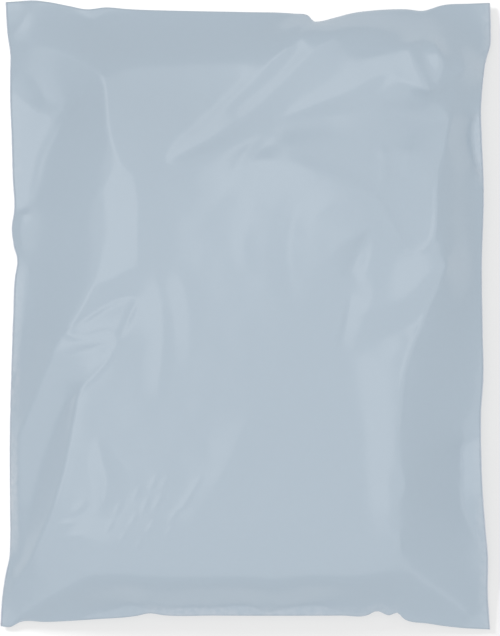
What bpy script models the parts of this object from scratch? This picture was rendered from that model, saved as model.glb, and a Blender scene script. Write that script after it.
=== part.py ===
"""Poly mailer bag: packed, sealed, and lying on its back with its plain face up.

One length of polyethylene film makes the whole bag. It is folded across the bottom, welded
down both sides, and closed by a flap of the same film that is glued over the back. The bag
can't be seen into, so the film, the flap and the folded garment inside are one closed solid.

The film is a skin stretched between lines: its welded edge, the shoulders where it bends
over the garment, and the creases where it is pulled tight. Each line is a few points chosen
by hand, and the film between the lines settles level with its neighbours. Softer wrinkles
are added on top, each one a crest with a sloping flank on either side.

The working unit is the millimetre: +X to the right, +Y to the flap end, +Z up from the table.
"""
import bmesh
import bpy
import numpy as np
from mathutils import Vector
from mathutils.geometry import delaunay_2d_cdt

MM = 0.001

# Driving sizes
FLAT_WIDTH = 304.8
FLAT_LENGTH = 393.7
FLAP_DEPTH_LEFT = 33.0
FLAP_DEPTH_RIGHT = 39.0
FLAP_LIP = 0.5
WELD_THICKNESS = 0.8
BACK_LIFT_WIDTH = 36.0
BACK_ROWS = (4, 9, 15, 22, 29, BACK_LIFT_WIDTH)

# Spacing of the mesh
EDGE_STEP = 5.5
LINE_STEP = 6.0
FILL_STEP = 8.6
CLEARANCE = 4.0
SETTLING_ROUNDS = 400

# The welded edge, side by side around the bag: x, y and height above the table
LEFT_EDGE = [
    (-150, 196, 2), (-149.5, 186, 2.6), (-148.5, 174, 3.4), (-147, 165, 4.2), (-147, 152, 5.2),
    (-147, 136, 5.6), (-146.1, 112, 5.8), (-145.3, 85, 6), (-144.4, 66, 5.6), (-146, 54, 4.6),
    (-144.9, 44, 4.6), (-142.5, 34, 6), (-143.9, 24, 6.6), (-145, 0, 6.5), (-146.5, -45, 6),
    (-147.2, -80, 5.6), (-147.1, -115, 5.2), (-147, -140, 4.8), (-147.5, -151, 4.4), (-150, -163, 3.6),
    (-152, -176, 2.6), (-153.3, -195, 1.5),
]
BOTTOM_EDGE = [
    (-153.3, -195, 1.5), (-148, -195.6, 1.5), (-141, -192.3, 2.5), (-125, -192.2, 3.5),
    (-95, -190.5, 5), (-68, -188.2, 6.5), (-60, -186.6, 7.5), (-52, -187.7, 7), (-20, -188, 7),
    (60, -188, 7), (76, -187.9, 7), (82, -185.2, 8), (90, -187.8, 7.5), (95, -186.2, 7.5),
    (99, -190, 6), (115, -193.3, 4), (135, -196, 2.5), (153, -197, 1.5),
]
RIGHT_EDGE = [
    (153, -197, 1.5), (151.5, -175, 3), (151.5, -152, 5), (149.7, -132, 7.5), (148, -110, 9.5),
    (147, -80, 9.5), (147, -62, 9), (148.5, -38, 9), (148, -10, 9), (147.5, 30, 9),
    (148.7, 80, 9), (147.5, 110, 9), (147, 127, 9), (148.5, 148, 8), (150.5, 161, 6.5),
    (152.8, 168, 5.5), (153.3, 180, 3.5), (153, 195.5, 2),
]
TOP_EDGE = [
    (153, 195.5, 2), (140, 195, 2.5), (122, 193.6, 4), (116, 191.6, 5), (113, 190.6, 6),
    (100, 191.3, 6), (80, 190.5, 6.5), (68, 189, 7.5), (55, 185.6, 10), (47, 183.5, 12),
    (43, 183.2, 12.5), (39, 187.3, 9), (30, 188.5, 7.5), (0, 189.5, 6.5), (-40, 190.3, 6),
    (-75, 191.5, 6), (-87, 192.5, 5.5), (-100, 191.3, 6), (-110, 193.3, 5), (-125, 196.2, 3.5),
    (-133, 197, 3), (-141, 196.6, 2.5), (-150, 196, 2),
]

# Lines that hold the film up or pull it down: x, y and height above the table
HELD_LINES = {
    "turned ear": [
        (-133, 196, 3.2), (-136, 189, 4.4), (-141, 181, 5.4), (-146, 175, 5.4), (-148.4, 172, 5)],
    "top hem facet": [(-107, 191.8, 5.6), (-97, 184.8, 6.8), (-84, 191.8, 5.8)],
    "arc over the tuck": [
        (-146.5, 157, 5.2), (-137, 165, 10), (-123, 166, 15), (-112, 163, 19.5), (-100, 157, 25.5),
        (-91, 151, 31)],
    "tuck upper lip": [
        (-146.8, 151.5, 5.6), (-136, 151, 10.5), (-130, 146, 12.5), (-124, 135, 12.6), (-113, 128.5, 12.6)],
    "tuck lower lip": [
        (-146.5, 136, 5.8), (-137, 133, 6.6), (-130, 128, 7.8), (-124, 126, 9), (-113, 128.5, 12.6)],
    "upper left flange": [
        (-113, 128.5, 12.6), (-119, 116, 10), (-127, 100, 8.3), (-131, 85, 7.4), (-135, 70, 6.8),
        (-139, 66.3, 6.3), (-144, 65.5, 5.8)],
    "shoulder to tuck": [(-91, 151, 31), (-100, 142, 24), (-110, 133, 15.4), (-113, 128.5, 12.6)],
    "left shoulder, upper": [
        (-91, 151, 31), (-88.5, 146, 32), (-86.5, 130, 33), (-85, 115, 33.4), (-81, 102, 33.2),
        (-77, 94, 33)],
    "patch, upper edge": [(-77, 94, 33), (-88, 80, 30.8), (-96, 68.5, 27)],
    "patch, right edge": [
        (-77, 94, 33), (-70, 88, 32.7), (-67, 75, 32.4), (-67, 50, 32.3), (-67, 31, 32.3)],
    "patch, left edge": [
        (-88, 80, 30.5), (-89, 70, 30), (-87, 50, 30), (-90, 39, 29.9), (-92, 30, 29.9), (-94, 20, 30)],
    "patch, lower edge": [(-67, 31, 32.3), (-78, 26, 31.6), (-85, 22, 30.9), (-94, 20, 30)],
    "left waist": [
        (-94, 20, 30), (-100, 8, 28.8), (-109, -8, 27), (-118, -20, 24.2), (-122, -30, 22),
        (-127, -42, 18.8), (-134, -58, 13.8), (-142, -76, 8)],
    "lower left flange": [
        (-142, -76, 8), (-142.5, -95, 6.5), (-142.5, -120, 6.1), (-142.5, -145, 5.4), (-147, -158, 4)],
    "left hem strip": [
        (-142, 34, 6.2), (-137.5, 31, 7.4), (-137.5, 15, 7.8), (-139.5, -5, 7.6), (-142, -25, 7.1),
        (-146, -50, 6.2)],
    "lower left ridge": [
        (-80, -17, 31.5), (-84, -27, 31.2), (-92, -37, 31), (-101, -45, 30.8), (-106, -65, 30.7),
        (-109, -80, 30.4), (-112, -95, 30), (-117, -112, 29.2), (-121, -124, 27.6), (-128, -140, 23.2),
        (-134, -152, 17.6), (-141, -163, 11.2), (-147, -175, 5.6)],
    "foot of the ridge": [
        (-103, -46, 29.6), (-111, -53, 23.2), (-117, -66, 18.2), (-122, -80, 14.4), (-127, -95, 12.4),
        (-131, -110, 11), (-134, -125, 9.8), (-138, -142, 7.8), (-140, -152, 6.6), (-147, -161, 4)],
    "lower left hip": [
        (-95, -160, 27), (-105, -166, 22.5), (-120, -175, 16), (-135, -184, 9), (-146, -192, 3)],
    "bottom shoulder": [
        (-95, -160, 27), (-60, -163.5, 26.6), (0, -164.5, 26.4), (50, -162.5, 26.4), (85, -157, 26.8),
        (93, -150, 28)],
    "lower right hip": [
        (93, -150, 28), (100, -156, 24.5), (112, -166, 18), (125, -175, 11.5), (140, -187, 5)],
    "right shoulder, lower": [
        (93, -150, 28), (96, -142, 29.4), (91.5, -130, 30.3), (93, -118, 31), (99, -106, 31),
        (97, -99, 31.5), (94.5, -85, 32), (95, -60, 32.2), (97, -40, 32.4), (104, -20, 32.2),
        (109, -5, 31.8), (117, 12, 31.4), (125, 31, 31)],
    "right shoulder, upper": [
        (125, 31, 31), (118, 43, 31.2), (118.5, 55, 31.2), (118.5, 70, 31), (120, 90, 29.2),
        (124, 105, 26.4), (127, 122, 23.3)],
    "right band, inner edge": [
        (80, -146, 28), (77, -130, 28.6), (75, -100, 28.9), (72, -60, 29), (67, -38, 28.9),
        (64, -20, 28.9)],
    "top shoulder": [(-91, 151, 31), (-80, 153, 29), (-50, 154, 26.6), (-20, 155, 26.2), (4, 155.5, 27.4)],
    "top right shoulder": [
        (4, 155.5, 27.4), (20, 164, 25.8), (30, 171, 24.2), (37, 176, 22.6), (48, 179, 20), (58, 180, 19),
        (80, 179, 19.4), (100, 176.5, 20.6), (112, 174.5, 21.4), (120, 170, 22.6), (130, 163, 23.8),
        (138, 155, 24.5)],
    "top right corner": [(138, 155, 24.5), (131, 149, 24.8), (125, 144, 26.2), (118, 140.5, 29)],
    "upper right hem strip": [
        (146, 127, 8.7), (142, 121, 8), (141, 110, 7.8), (143.5, 97, 8), (148, 86, 9)],
    "round crest": [
        (-8, 90, 30), (0, 93, 31.1), (10, 95.5, 32.2), (20, 96.5, 33.3), (35, 93.5, 34.5), (50, 87, 35.3),
        (62, 81.5, 35.7), (72, 77.5, 35.9), (80, 73.5, 35.8), (85, 67, 35.4), (90, 58, 34.5),
        (95, 49, 33.2), (100, 41, 31.8)],
    "foot of the round crest": [
        (24, 106, 30.2), (36, 104, 31), (50, 99, 31.9), (62, 93, 32.6), (76, 87, 33.1), (86, 79, 33.1),
        (93, 67, 32.6), (98, 56, 31.8), (104, 46, 31)],
    "slack left of the middle": [(-54, 86, 30.4), (-50, 62, 30.2), (-46, 38, 30.6)],
    "foot of the diagonals": [
        (-51, 94, 28.4), (-47, 102, 28.3), (-42, 109, 28.3), (-33.5, 115.8, 28.2), (-23.8, 124.8, 28.1),
        (-13.6, 135.5, 27.7), (-3.4, 146.3, 27.2)],
    "diagonal ridge, outer": [
        (-48, 96, 28.9), (-39, 104.5, 29.7), (-30, 112, 29.9), (-20, 121, 29.8), (-10, 132, 29.4),
        (0, 142.5, 28.9), (9, 151.5, 28.5), (20, 162, 26.8), (30, 169.5, 25.2), (36.5, 175, 23.4)],
    "between the diagonals": [
        (-34, 107, 29), (-20, 116, 28.6), (-10, 123, 28.3), (0, 131, 28), (10, 140, 27.5),
        (20, 150.5, 26.6), (30, 162.5, 24.8), (36, 172, 23.2)],
    "diagonal ridge, inner": [
        (-44, 94.5, 28.9), (-30, 104, 30), (-20, 109.5, 30.3), (-10, 115.5, 30.4), (0, 121.5, 30.3),
        (10, 129.5, 30), (20, 140, 29.3), (30, 149, 28.4), (40, 156.5, 27.4), (48, 163.5, 26),
        (54, 171, 23.6), (58, 177.5, 20.4)],
    "under the diagonals": [
        (-42, 88, 28.6), (-30, 94.5, 27.9), (-20, 99, 27.5), (-8, 106.5, 27.1), (5, 112.5, 26.8),
        (20, 117, 26.5), (35, 121, 26.4), (50, 125, 26.8), (65, 129.5, 27.3), (78, 135, 28)],
    "swept ridge, foot": [
        (18, 122.2, 26.6), (24, 126.5, 27), (31, 131.5, 27.5), (40, 137.5, 28.1), (50, 144, 28.6),
        (60, 150, 29), (70, 155.5, 29.3), (82, 160, 29.7), (92, 162.5, 30.3), (101, 165, 31)],
    "swept ridge": [
        (17, 121, 26.7), (25, 124, 28), (35, 127.8, 29), (45, 131.3, 29.8), (55, 135, 30.5),
        (65, 139.2, 31), (75, 144, 31.5), (84, 148.6, 31.9), (90, 150.6, 32.2), (95, 147.8, 32.8),
        (101, 145, 33.4), (107, 142.3, 34), (114, 140, 34.4)],
    "wing, right edge": [(101, 165, 31), (104, 156, 33), (108, 148.5, 33.8), (114, 140, 34.4)],
    "valley beside the wing": [
        (105.5, 168, 25), (108, 162, 26.8), (112, 154, 27.6), (116, 146.5, 28), (118, 140.5, 29)],
    "ridge by the tip": [
        (113, 173, 22), (117.5, 169.5, 25.8), (120.5, 163, 28.4), (122.5, 155, 28.8), (121, 148, 28.4)],
    "lens, upper edge": [
        (82, 130.5, 28.4), (95, 135.5, 29.8), (108, 138, 30.2), (118, 137.5, 28.8), (126, 139, 24)],
    "lens, lower edge": [
        (88, 127, 26.2), (100, 124.5, 24.2), (112, 122.5, 23.6), (121, 121, 23.2), (127, 122, 22.8)],
    "right hem strip": [
        (147, -77, 9.4), (137, -80, 8.2), (135.5, -100, 8), (136, -120, 7.4), (142, -133, 6.8),
        (149, -147, 5.6)],
    "bottom hem, left": [(-102, -189, 5.3), (-85, -185, 6.4), (-68, -181.5, 7.6), (-62, -185.5, 7.6)],
    "bottom hem, middle": [
        (-60, -184.5, 7.6), (-40, -183, 7.4), (-20, -183, 7.4), (5, -182.5, 7.4), (13, -187, 7)],
    "bottom hem, right": [(15, -186.5, 7.1), (25, -183.5, 7.4), (50, -182.5, 7.4), (60, -186.8, 7.1)],
    "point crest": [
        (74, 2, 32.4), (80, 5, 32.8), (86, 6.5, 33), (93, 8, 33.2), (98, 10, 33.6), (105, 15, 34.2),
        (112, 23, 34), (118, 28.5, 32.9), (124, 30.8, 31.2)],
    "above the point": [(83, 27, 31.2), (90, 33, 30.4), (98, 37, 30.2), (106, 39.5, 30.4)],
    "valley below the point": [
        (66, -18, 30.2), (76, -16, 29.8), (85, -13, 29.6), (93, -10.5, 29.6), (100, -7.5, 29.8),
        (108, -5, 30.8)],
    "right band, top": [
        (89, -138, 29.6), (87.5, -120, 30.8), (88, -100, 31.2), (87, -60, 31.8), (88, -35, 32),
        (94, -18, 31.8)],
    "bottom plateau": [
        (-72, -122, 30), (-40, -126, 29.9), (0, -128, 29.8), (40, -126, 29.8), (62, -122, 29.8)],
    "corner plateau": [(-105, -139, 28.4), (-91, -140, 29.5), (-76, -139, 29.9)],
    "middle rise": [(-32, 26, 31.2), (-12, 21, 31.8), (5, 17, 32.3), (22, 12.5, 32.8), (42, 10, 33)],
    "dent, upper edge": [(50, 35, 33.4), (58, 41.5, 34.2), (66, 47.5, 34.9), (77, 55.5, 35.2)],
    "dent, bottom": [(77, 55.5, 35.2), (73, 44, 31), (69, 34, 29.2), (65, 27, 29.2)],
    "dent, right bank": [(79.5, 57, 35), (78, 46, 32.8), (76, 34, 31.2), (73, 24, 31)],
    "dent, lower lip": [(50, 35, 33.4), (55, 31, 32.4), (60, 25.5, 31.2), (62.5, 19, 31), (64, 10, 31.4)],
    "first fold, valley": [
        (-67, 11, 29), (-75, 10.5, 28.4), (-84, 7, 27.9), (-92, 2, 27.4), (-100, -3, 26.9),
        (-107, -7, 26.6)],
}

# Wrinkles, each a crest from end to end: x, y, height, width of its left flank and of its
# right flank, left and right as seen by someone walking along the crest
WRINKLES = {
    "ridge under the diagonals": [
        (-8, 90, 0, 6, 5), (1, 102.5, 0.7, 7, 5), (9, 109.5, 0.8, 7, 5), (20, 112, 0, 4, 5)],
    "light wrinkle, upper": [
        (95, 90, 0, 5, 3), (102, 96, 1.3, 13, 5), (108, 104, 1.5, 16, 5), (113, 113, 0, 7, 4)],
    "light wrinkle, lower": [
        (96, 83, 0, 6, 5), (104, 86, 0.9, 8, 6), (112, 88, 0.9, 8, 5), (119, 93, 0, 5, 4)],
    "ridge below the dent": [
        (67, -14, 0, 4, 5), (71, 0, 0.6, 6, 7), (74, 14, 0.7, 7, 8), (77, 28, 0.4, 6, 7),
        (79, 40, 0, 4, 5)],
    "left fan, upper": [
        (-112, -10.5, 0.3, 2, 4), (-100, -6, 0.7, 2.6, 6), (-92, -1, 0.9, 2.8, 8), (-84, 4, 0.9, 2.8, 8),
        (-75, 7.5, 0.6, 2.6, 6), (-67, 8.5, 0, 2, 4)],
    "left fan, middle": [
        (-112, -11.5, 0.3, 2, 3), (-105, -13.5, 0.8, 2.6, 4), (-98, -13, 0.8, 2.8, 5),
        (-91, -11, 0.7, 2.8, 5), (-85, -10.3, 0.5, 2.6, 4), (-78, -11.5, 0, 2, 3)],
    "left fan, lower": [
        (-122, -27, 0.2, 3, 5), (-112, -26, 1, 5, 8), (-103, -23.5, 1.3, 6, 9), (-93, -21, 1.2, 6, 9),
        (-83, -18, 0, 4, 5)],
    "upright wrinkle, left": [
        (-54, -54, 0, 8, 5), (-53, -38, 0.6, 11, 6), (-51, -20, 0.65, 12, 6), (-51.5, -2, 0.5, 12, 6),
        (-54, 14, 0.35, 9, 5), (-58, 30, 0, 5, 4)],
    "upright wrinkle, right": [
        (-37, -40, 0, 9, 14), (-35, -22, 0.3, 12, 20), (-35, 2, 0.45, 13, 20), (-39, 18, 0.5, 11, 14),
        (-45, 30, 0, 6, 8)],
    "lower diagonal": [
        (-42, -134, 0, 10, 16), (-26, -108, 0.8, 16, 24), (-9, -76, 0.9, 17, 28), (3, -48, 0, 12, 20)],
    "corner of the contents": [
        (-92, -76, 0, 3, 3), (-89, -90, 1, 8, 8), (-86, -104, 1.5, 14, 9), (-88, -116, 0.8, 12, 7),
        (-91, -126, 0, 8, 6)],
    "notch strip": [(22, 176, 0, 5, 3), (32, 181, 1, 6, 4), (41, 185.5, 0.6, 4, 3)],
    "upright streak": [
        (84, 107, 0, 3, 3), (86.5, 98, 0.4, 4, 5), (86.5, 88, 0.5, 4, 5), (84, 79, 0.3, 4, 4),
        (80, 74, 0, 3, 3)],
    "notch under the swept ridge": [
        (92, 151, 0, 3, 8), (87, 146, -0.5, 3.5, 9), (82, 141, -0.5, 4, 9), (76, 136, 0, 4, 6)],
    "crease right of the fan": [
        (-67, 11, 0, 2.5, 2.5), (-70, 4, -0.6, 3, 3), (-75, -7, -0.6, 3, 3), (-80, -17, 0, 2.5, 2.5)],
    "lip, right shoulder": [
        (120, 92, 0, 2.5, 2), (118.7, 78, 0.5, 3, 2), (118.4, 60, 0.5, 3, 2), (116, 47, 0.5, 3, 2.5),
        (110, 40.5, 0.5, 2.5, 3), (101, 40, 0.3, 2.5, 2.5)],
    "lip, point": [
        (124, 30, 0, 2, 2), (120, 18, 0.4, 3, 2), (112, 1, 0.4, 3, 2), (106, -13, 0.4, 3, 2),
        (99, -34, 0.4, 3, 2), (96.5, -58, 0.3, 3, 2), (95, -82, 0, 2, 2)],
    "lip, lower left ridge": [
        (-80, -17, 0, 2, 2), (-84, -26, 0.5, 2, 3), (-93, -37, 0.5, 2, 3), (-102, -46, 0.5, 2, 3),
        (-107, -66, 0.4, 2, 3), (-112, -93, 0.4, 2, 3), (-120, -121, 0.4, 2, 3), (-133, -149, 0.3, 2, 3),
        (-142, -165, 0, 2, 2)],
    "groove below the dent": [
        (65, 14, 0, 6, 2.2), (64, 5, -0.7, 9, 2.4), (62, -5, -0.9, 10, 2.4), (60, -14, -0.7, 9, 2.4),
        (58, -24, 0, 5, 2.4)],
    "lip, round crest": [
        (72, 77.5, 0, 3, 3), (80, 73.2, 0.4, 3, 4), (85, 67, 0.4, 3, 4), (90, 58, 0.4, 3, 4),
        (95, 49, 0.4, 3, 4), (100, 41, 0, 2, 3)],
    "arc over the dent": [
        (38, 52, 0, 8, 5), (46, 64, 0.5, 11, 7), (56, 71, 0.7, 11, 8), (68, 70.5, 0.7, 9, 8),
        (76, 63, 0.4, 6, 6), (80, 56, 0, 4, 4)],
    "upright fold, middle 1": [
        (-34, 44, 0, 7, 7), (-24, 62, 0.15, 9, 8), (-8, 80, 0.2, 9, 8), (2, 94, 0, 6, 6)],
    "upright fold, middle 2": [
        (2, 24, 0, 6, 6), (-1, 42, 0.2, 8, 7), (4, 64, 0.15, 9, 8), (14, 84, 0, 6, 6)],
    "upright fold, middle 3": [
        (32, 20, 0, 6, 6), (29, 38, 0.15, 8, 7), (31, 58, 0.2, 9, 8), (38, 80, 0, 6, 6)],
    "lip, left facet": [
        (-112, 129, 0, 2, 3), (-118, 117, 0.5, 2, 3.5), (-126.5, 100, 0.5, 2, 3.5), (-130.5, 85, 0.4, 2, 3),
        (-135, 69, 0, 2, 3)],
    "dent floor": [
        (53, 34, 0, 5, 2.5), (60, 30, -1.4, 9, 2.5), (66, 31, -1.8, 12, 3), (71, 41, -1.3, 10, 3),
        (76, 53, 0, 3, 2)],
}
CREST_ROUNDING = 1.5
FLANK_CURVE = 1.4


def smooth_curve(points, step):
    """Points about every step along a smooth curve through the given points."""
    knots = np.array(points, float)
    knots = np.vstack([2 * knots[0] - knots[1], knots, 2 * knots[-1] - knots[-2]])
    spans = np.linalg.norm(np.diff(knots[:, :2], axis=0), axis=1)[:, None]
    slopes = np.diff(knots, axis=0) / spans
    tangents = (slopes[:-1] * spans[1:] + slopes[1:] * spans[:-1]) / (spans[:-1] + spans[1:])
    pieces = []
    for i, length in enumerate(spans[1:-1, 0]):
        t = np.arange(max(1, round(length / step)))[:, None] / max(1, round(length / step))
        start, end = knots[i + 1], knots[i + 2]
        pieces.append(start * (2 * t**3 - 3 * t**2 + 1) + end * (3 * t**2 - 2 * t**3)
                      + length * (tangents[i] * (t**3 - 2 * t**2 + t) + tangents[i + 1] * (t**3 - t**2)))
    return np.vstack(pieces + [knots[-2]])


def welded_edge():
    """The closed outline of the bag, anticlockwise from its top left corner."""
    sides = (LEFT_EDGE, BOTTOM_EDGE, RIGHT_EDGE, TOP_EDGE)
    return np.vstack([smooth_curve(side, EDGE_STEP)[:-1] for side in sides])


def nearest_on_path(places, path):
    """For each place: its distance to the path, its side (+1 is left), and the path's other columns."""
    best = np.full(len(places), np.inf)
    side = np.ones(len(places))
    columns = np.zeros((len(places), path.shape[1] - 2))
    for start, end in zip(path[:-1], path[1:]):
        run = end[:2] - start[:2]
        offset = places - start[:2]
        t = np.clip(offset @ run / (run @ run), 0, 1)
        gap = offset - t[:, None] * run
        distance = np.hypot(gap[:, 0], gap[:, 1])
        closer = distance < best
        best[closer] = distance[closer]
        side[closer] = np.where(run[0] * gap[closer, 1] >= run[1] * gap[closer, 0], 1, -1)
        columns[closer] = start[2:] + t[closer, None] * (end[2:] - start[2:])
    return best, side, columns


def wrinkle_height(places, points):
    """Height that one wrinkle adds: full on its crest, none beyond its flanks."""
    distance, side, columns = nearest_on_path(places, smooth_curve(points, LINE_STEP))
    height, left_width, right_width = columns.T
    width = np.where(side > 0, left_width, right_width)
    from_crest = np.sqrt(distance**2 + CREST_ROUNDING**2) - CREST_ROUNDING
    return height * np.clip(1 - from_crest / width, 0, 1) ** FLANK_CURVE


def inside(places, ring):
    """True for each place within the ring: a line from it crosses the ring an odd number of times."""
    x, y = places[:, 0, None], places[:, 1, None]
    start, end = ring[:, :2], np.roll(ring[:, :2], -1, axis=0)
    spans_y = (start[:, 1] > y) != (end[:, 1] > y)
    rise = np.where(end[:, 1] == start[:, 1], 1, end[:, 1] - start[:, 1])
    crossing_x = start[:, 0] + (y - start[:, 1]) / rise * (end[:, 0] - start[:, 0])
    return (spans_y & (x < crossing_x)).sum(axis=1) % 2 == 1


def clear_places(places, taken, clearance):
    """The places further than the clearance from every place that is taken."""
    gaps = np.linalg.norm(places[:, None, :] - taken[None, :, :2], axis=2)
    return places[gaps.min(axis=1) > clearance]


def fill_places(ring, taken):
    """An even field of places over the bag, clear of its lines."""
    columns = np.arange(-154, 154, FILL_STEP)
    rows = np.arange(-198, 198, FILL_STEP * 0.866)
    x, y = np.meshgrid(columns, rows)
    x[::2] += FILL_STEP / 2
    places = np.column_stack([x.ravel(), y.ravel()])
    places = places[inside(places, ring)]
    return clear_places(places, taken, FILL_STEP * 0.55)


def crest_places(ring, taken):
    """Places along each wrinkle's crest and the feet of its two flanks, clear of the lines."""
    for points in WRINKLES.values():
        path = smooth_curve(points, LINE_STEP)
        ahead = np.gradient(path[:, :2], axis=0)
        left = np.column_stack([-ahead[:, 1], ahead[:, 0]]) / np.linalg.norm(ahead, axis=1)[:, None]
        for shift in (0 * path[:, 3], path[:, 3], -path[:, 4]):
            places = path[:, :2] + left * shift[:, None]
            places = clear_places(places[inside(places, ring)], taken, CLEARANCE)
            taken = np.vstack([taken, without_height(places)])
    return taken


def held_net(ring):
    """The ring and the held lines as places (x, y, height) with the edges that join them."""
    places = [tuple(place) for place in ring]
    edges = ring_edges(ring)
    for points in HELD_LINES.values():
        chain = []
        for place in smooth_curve(points, LINE_STEP):
            gaps = np.hypot(*(np.array(places)[:, :2] - place[:2]).T)
            if gaps.min() < 2.2:
                number = int(gaps.argmin())
            elif inside(place[None, :2], ring)[0]:
                number = len(places)
                places.append(tuple(place))
            else:
                continue
            if number not in chain:
                chain.append(number)
        edges += list(zip(chain[:-1], chain[1:]))
    return np.array(places), edges


def triangulate(places, edges, ring):
    """Triangles between the places within the ring, keeping the edges."""
    found = delaunay_2d_cdt([Vector(place[:2]) for place in places], edges, [], 0, 0.01, True)
    flat = np.array([tuple(place) for place in found[0]])
    triangles = np.array(found[2])
    triangles = triangles[inside(flat[triangles].mean(axis=1), ring)]
    origin = [source[0] if source else -1 for source in found[3]]
    return flat, triangles, origin


def settle(flat, triangles, height):
    """Heights where each free place has settled to the mean of its neighbours."""
    pairs = np.vstack([triangles[:, [0, 1]], triangles[:, [1, 2]], triangles[:, [2, 0]]])
    pairs = np.unique(np.sort(pairs, axis=1), axis=0)
    one, two = np.vstack([pairs, pairs[:, ::-1]]).T
    pull = 1 / np.linalg.norm(flat[one] - flat[two], axis=1)
    total = np.bincount(one, pull, len(flat))
    free = np.isnan(height)
    level = np.where(free, 20, height)
    for _ in range(SETTLING_ROUNDS):
        mean = np.bincount(one, pull * level[two], len(flat)) / total
        level = np.where(free, mean, level)
    return level


def past_flap_edge(flat):
    """How far each place lies past the flap's glued edge, toward the top of the bag."""
    slant = (FLAP_DEPTH_LEFT - FLAP_DEPTH_RIGHT) / FLAT_WIDTH
    edge_y = FLAT_LENGTH / 2 - (FLAP_DEPTH_LEFT + FLAP_DEPTH_RIGHT) / 2 + slant * flat[:, 0]
    return flat[:, 1] - edge_y


def back_height(flat, ring):
    """The back film: flat on the table, and curling up to the weld around the edge.

    The flap is a second layer under it along the top, so it hangs one lip lower."""
    distance, _, columns = nearest_on_path(flat, np.vstack([ring, ring[:1]]))
    weld = columns[:, 0] - WELD_THICKNESS / 2
    back = weld * np.clip(1 - distance / BACK_LIFT_WIDTH, 0, 1) ** 2
    lip = FLAP_LIP * np.clip(past_flap_edge(flat) / FLAP_LIP, 0, 1)
    return np.maximum(back - lip, 0)


def ring_edges(ring):
    return [(i, (i + 1) % len(ring)) for i in range(len(ring))]


def without_height(places):
    """The same places with a height still to be found."""
    return np.column_stack([places, np.full(len(places), np.nan)])


def front_film(ring):
    """The upper surface: places with heights, triangles, and each place's number in the ring."""
    held, edges = held_net(ring)
    taken = crest_places(ring, held)
    places = np.vstack([taken, without_height(fill_places(ring, taken))])
    flat, triangles, origin = triangulate(places, edges, ring)
    held_height = np.array([places[source, 2] if source >= 0 else np.nan for source in origin])
    level = settle(flat, triangles, held_height)
    for points in WRINKLES.values():
        level += wrinkle_height(flat, points)
    level = np.maximum(level, back_height(flat, ring) + WELD_THICKNESS)
    return np.column_stack([flat, level]), triangles, origin


def flap_edge_places():
    """Two close rows of places across the back, where the flap's glued edge makes a step."""
    across = np.arange(-136, 140, 8.0)
    slant = (FLAP_DEPTH_LEFT - FLAP_DEPTH_RIGHT) / FLAT_WIDTH
    edge_y = FLAT_LENGTH / 2 - (FLAP_DEPTH_LEFT + FLAP_DEPTH_RIGHT) / 2 + slant * across
    return np.vstack([np.column_stack([across, edge_y]), np.column_stack([across, edge_y + FLAP_LIP])])


def back_film(ring):
    """The under surface, with rows of places only where it curls up toward the weld."""
    ahead = np.roll(ring[:, :2], -1, axis=0) - np.roll(ring[:, :2], 1, axis=0)
    inward = np.column_stack([-ahead[:, 1], ahead[:, 0]]) / np.linalg.norm(ahead, axis=1)[:, None]
    closed = np.vstack([ring, ring[:1]])
    places = np.vstack([ring[:, :2], flap_edge_places()])
    for depth in BACK_ROWS:
        row = ring[:, :2] + inward * depth
        row = row[inside(row, ring)]
        row = row[nearest_on_path(row, closed)[0] > depth * 0.9]
        places = np.vstack([places, clear_places(row, places[len(ring):], CLEARANCE)])
    flat, triangles, origin = triangulate(places, ring_edges(ring), ring)
    return np.column_stack([flat, back_height(flat, ring)]), triangles, origin


def add_film(mesh, places, triangles, origin, ring_size, faces_up):
    """Add one film's triangles to the mesh, and return its corners on the ring in order."""
    corners = [mesh.verts.new(Vector(place) * MM) for place in places]
    for triangle in triangles:
        mesh.faces.new([corners[i] for i in (triangle if faces_up else triangle[::-1])])
    on_ring = {source: i for i, source in enumerate(origin) if 0 <= source < ring_size}
    return [corners[on_ring[i]] for i in range(ring_size)]


def film_material():
    """Pale blue-grey film with a satin face."""
    material = bpy.data.materials.new("blue_grey_film")
    material.use_nodes = True
    shader = material.node_tree.nodes["Principled BSDF"]
    shader.inputs["Base Color"].default_value = (0.45, 0.52, 0.60, 1)
    shader.inputs["Roughness"].default_value = 0.4
    shader.inputs["Metallic"].default_value = 0
    return material


def make_bag():
    """The two films with the weld between them, closed into one solid."""
    ring = welded_edge()
    front, front_triangles, front_origin = front_film(ring)
    back, back_triangles, back_origin = back_film(ring)
    mesh = bmesh.new()
    upper = add_film(mesh, front, front_triangles, front_origin, len(ring), True)
    lower = add_film(mesh, back, back_triangles, back_origin, len(ring), False)
    for number, following in ring_edges(ring):
        mesh.faces.new((lower[number], lower[following], upper[following], upper[number]))
    data = bpy.data.meshes.new("mailer_bag")
    mesh.to_mesh(data)
    mesh.free()
    data.materials.append(film_material())
    bag = bpy.data.objects.new("mailer_bag", data)
    bpy.context.scene.collection.objects.link(bag)
    data.shade_smooth()
    data.set_sharp_from_angle(angle=np.radians(25))
    print("mailer_bag:", len(front_triangles), "front and", len(back_triangles), "back triangles")


for old in list(bpy.data.objects):
    bpy.data.objects.remove(old, do_unlink=True)
make_bag()
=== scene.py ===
# %% [markdown]
# A packed mailing bag: polyethylene film, folded across the bottom, welded down both sides, filled
# with a folded garment and closed by a flap glued over the back. It lies on its back, and the
# camera looks straight down on its plain front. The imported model, loaded first, gives the size and
# the place of everything here.

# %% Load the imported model
import bpy
import numpy as np
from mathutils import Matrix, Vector
from mathutils.geometry import delaunay_2d_cdt


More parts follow.
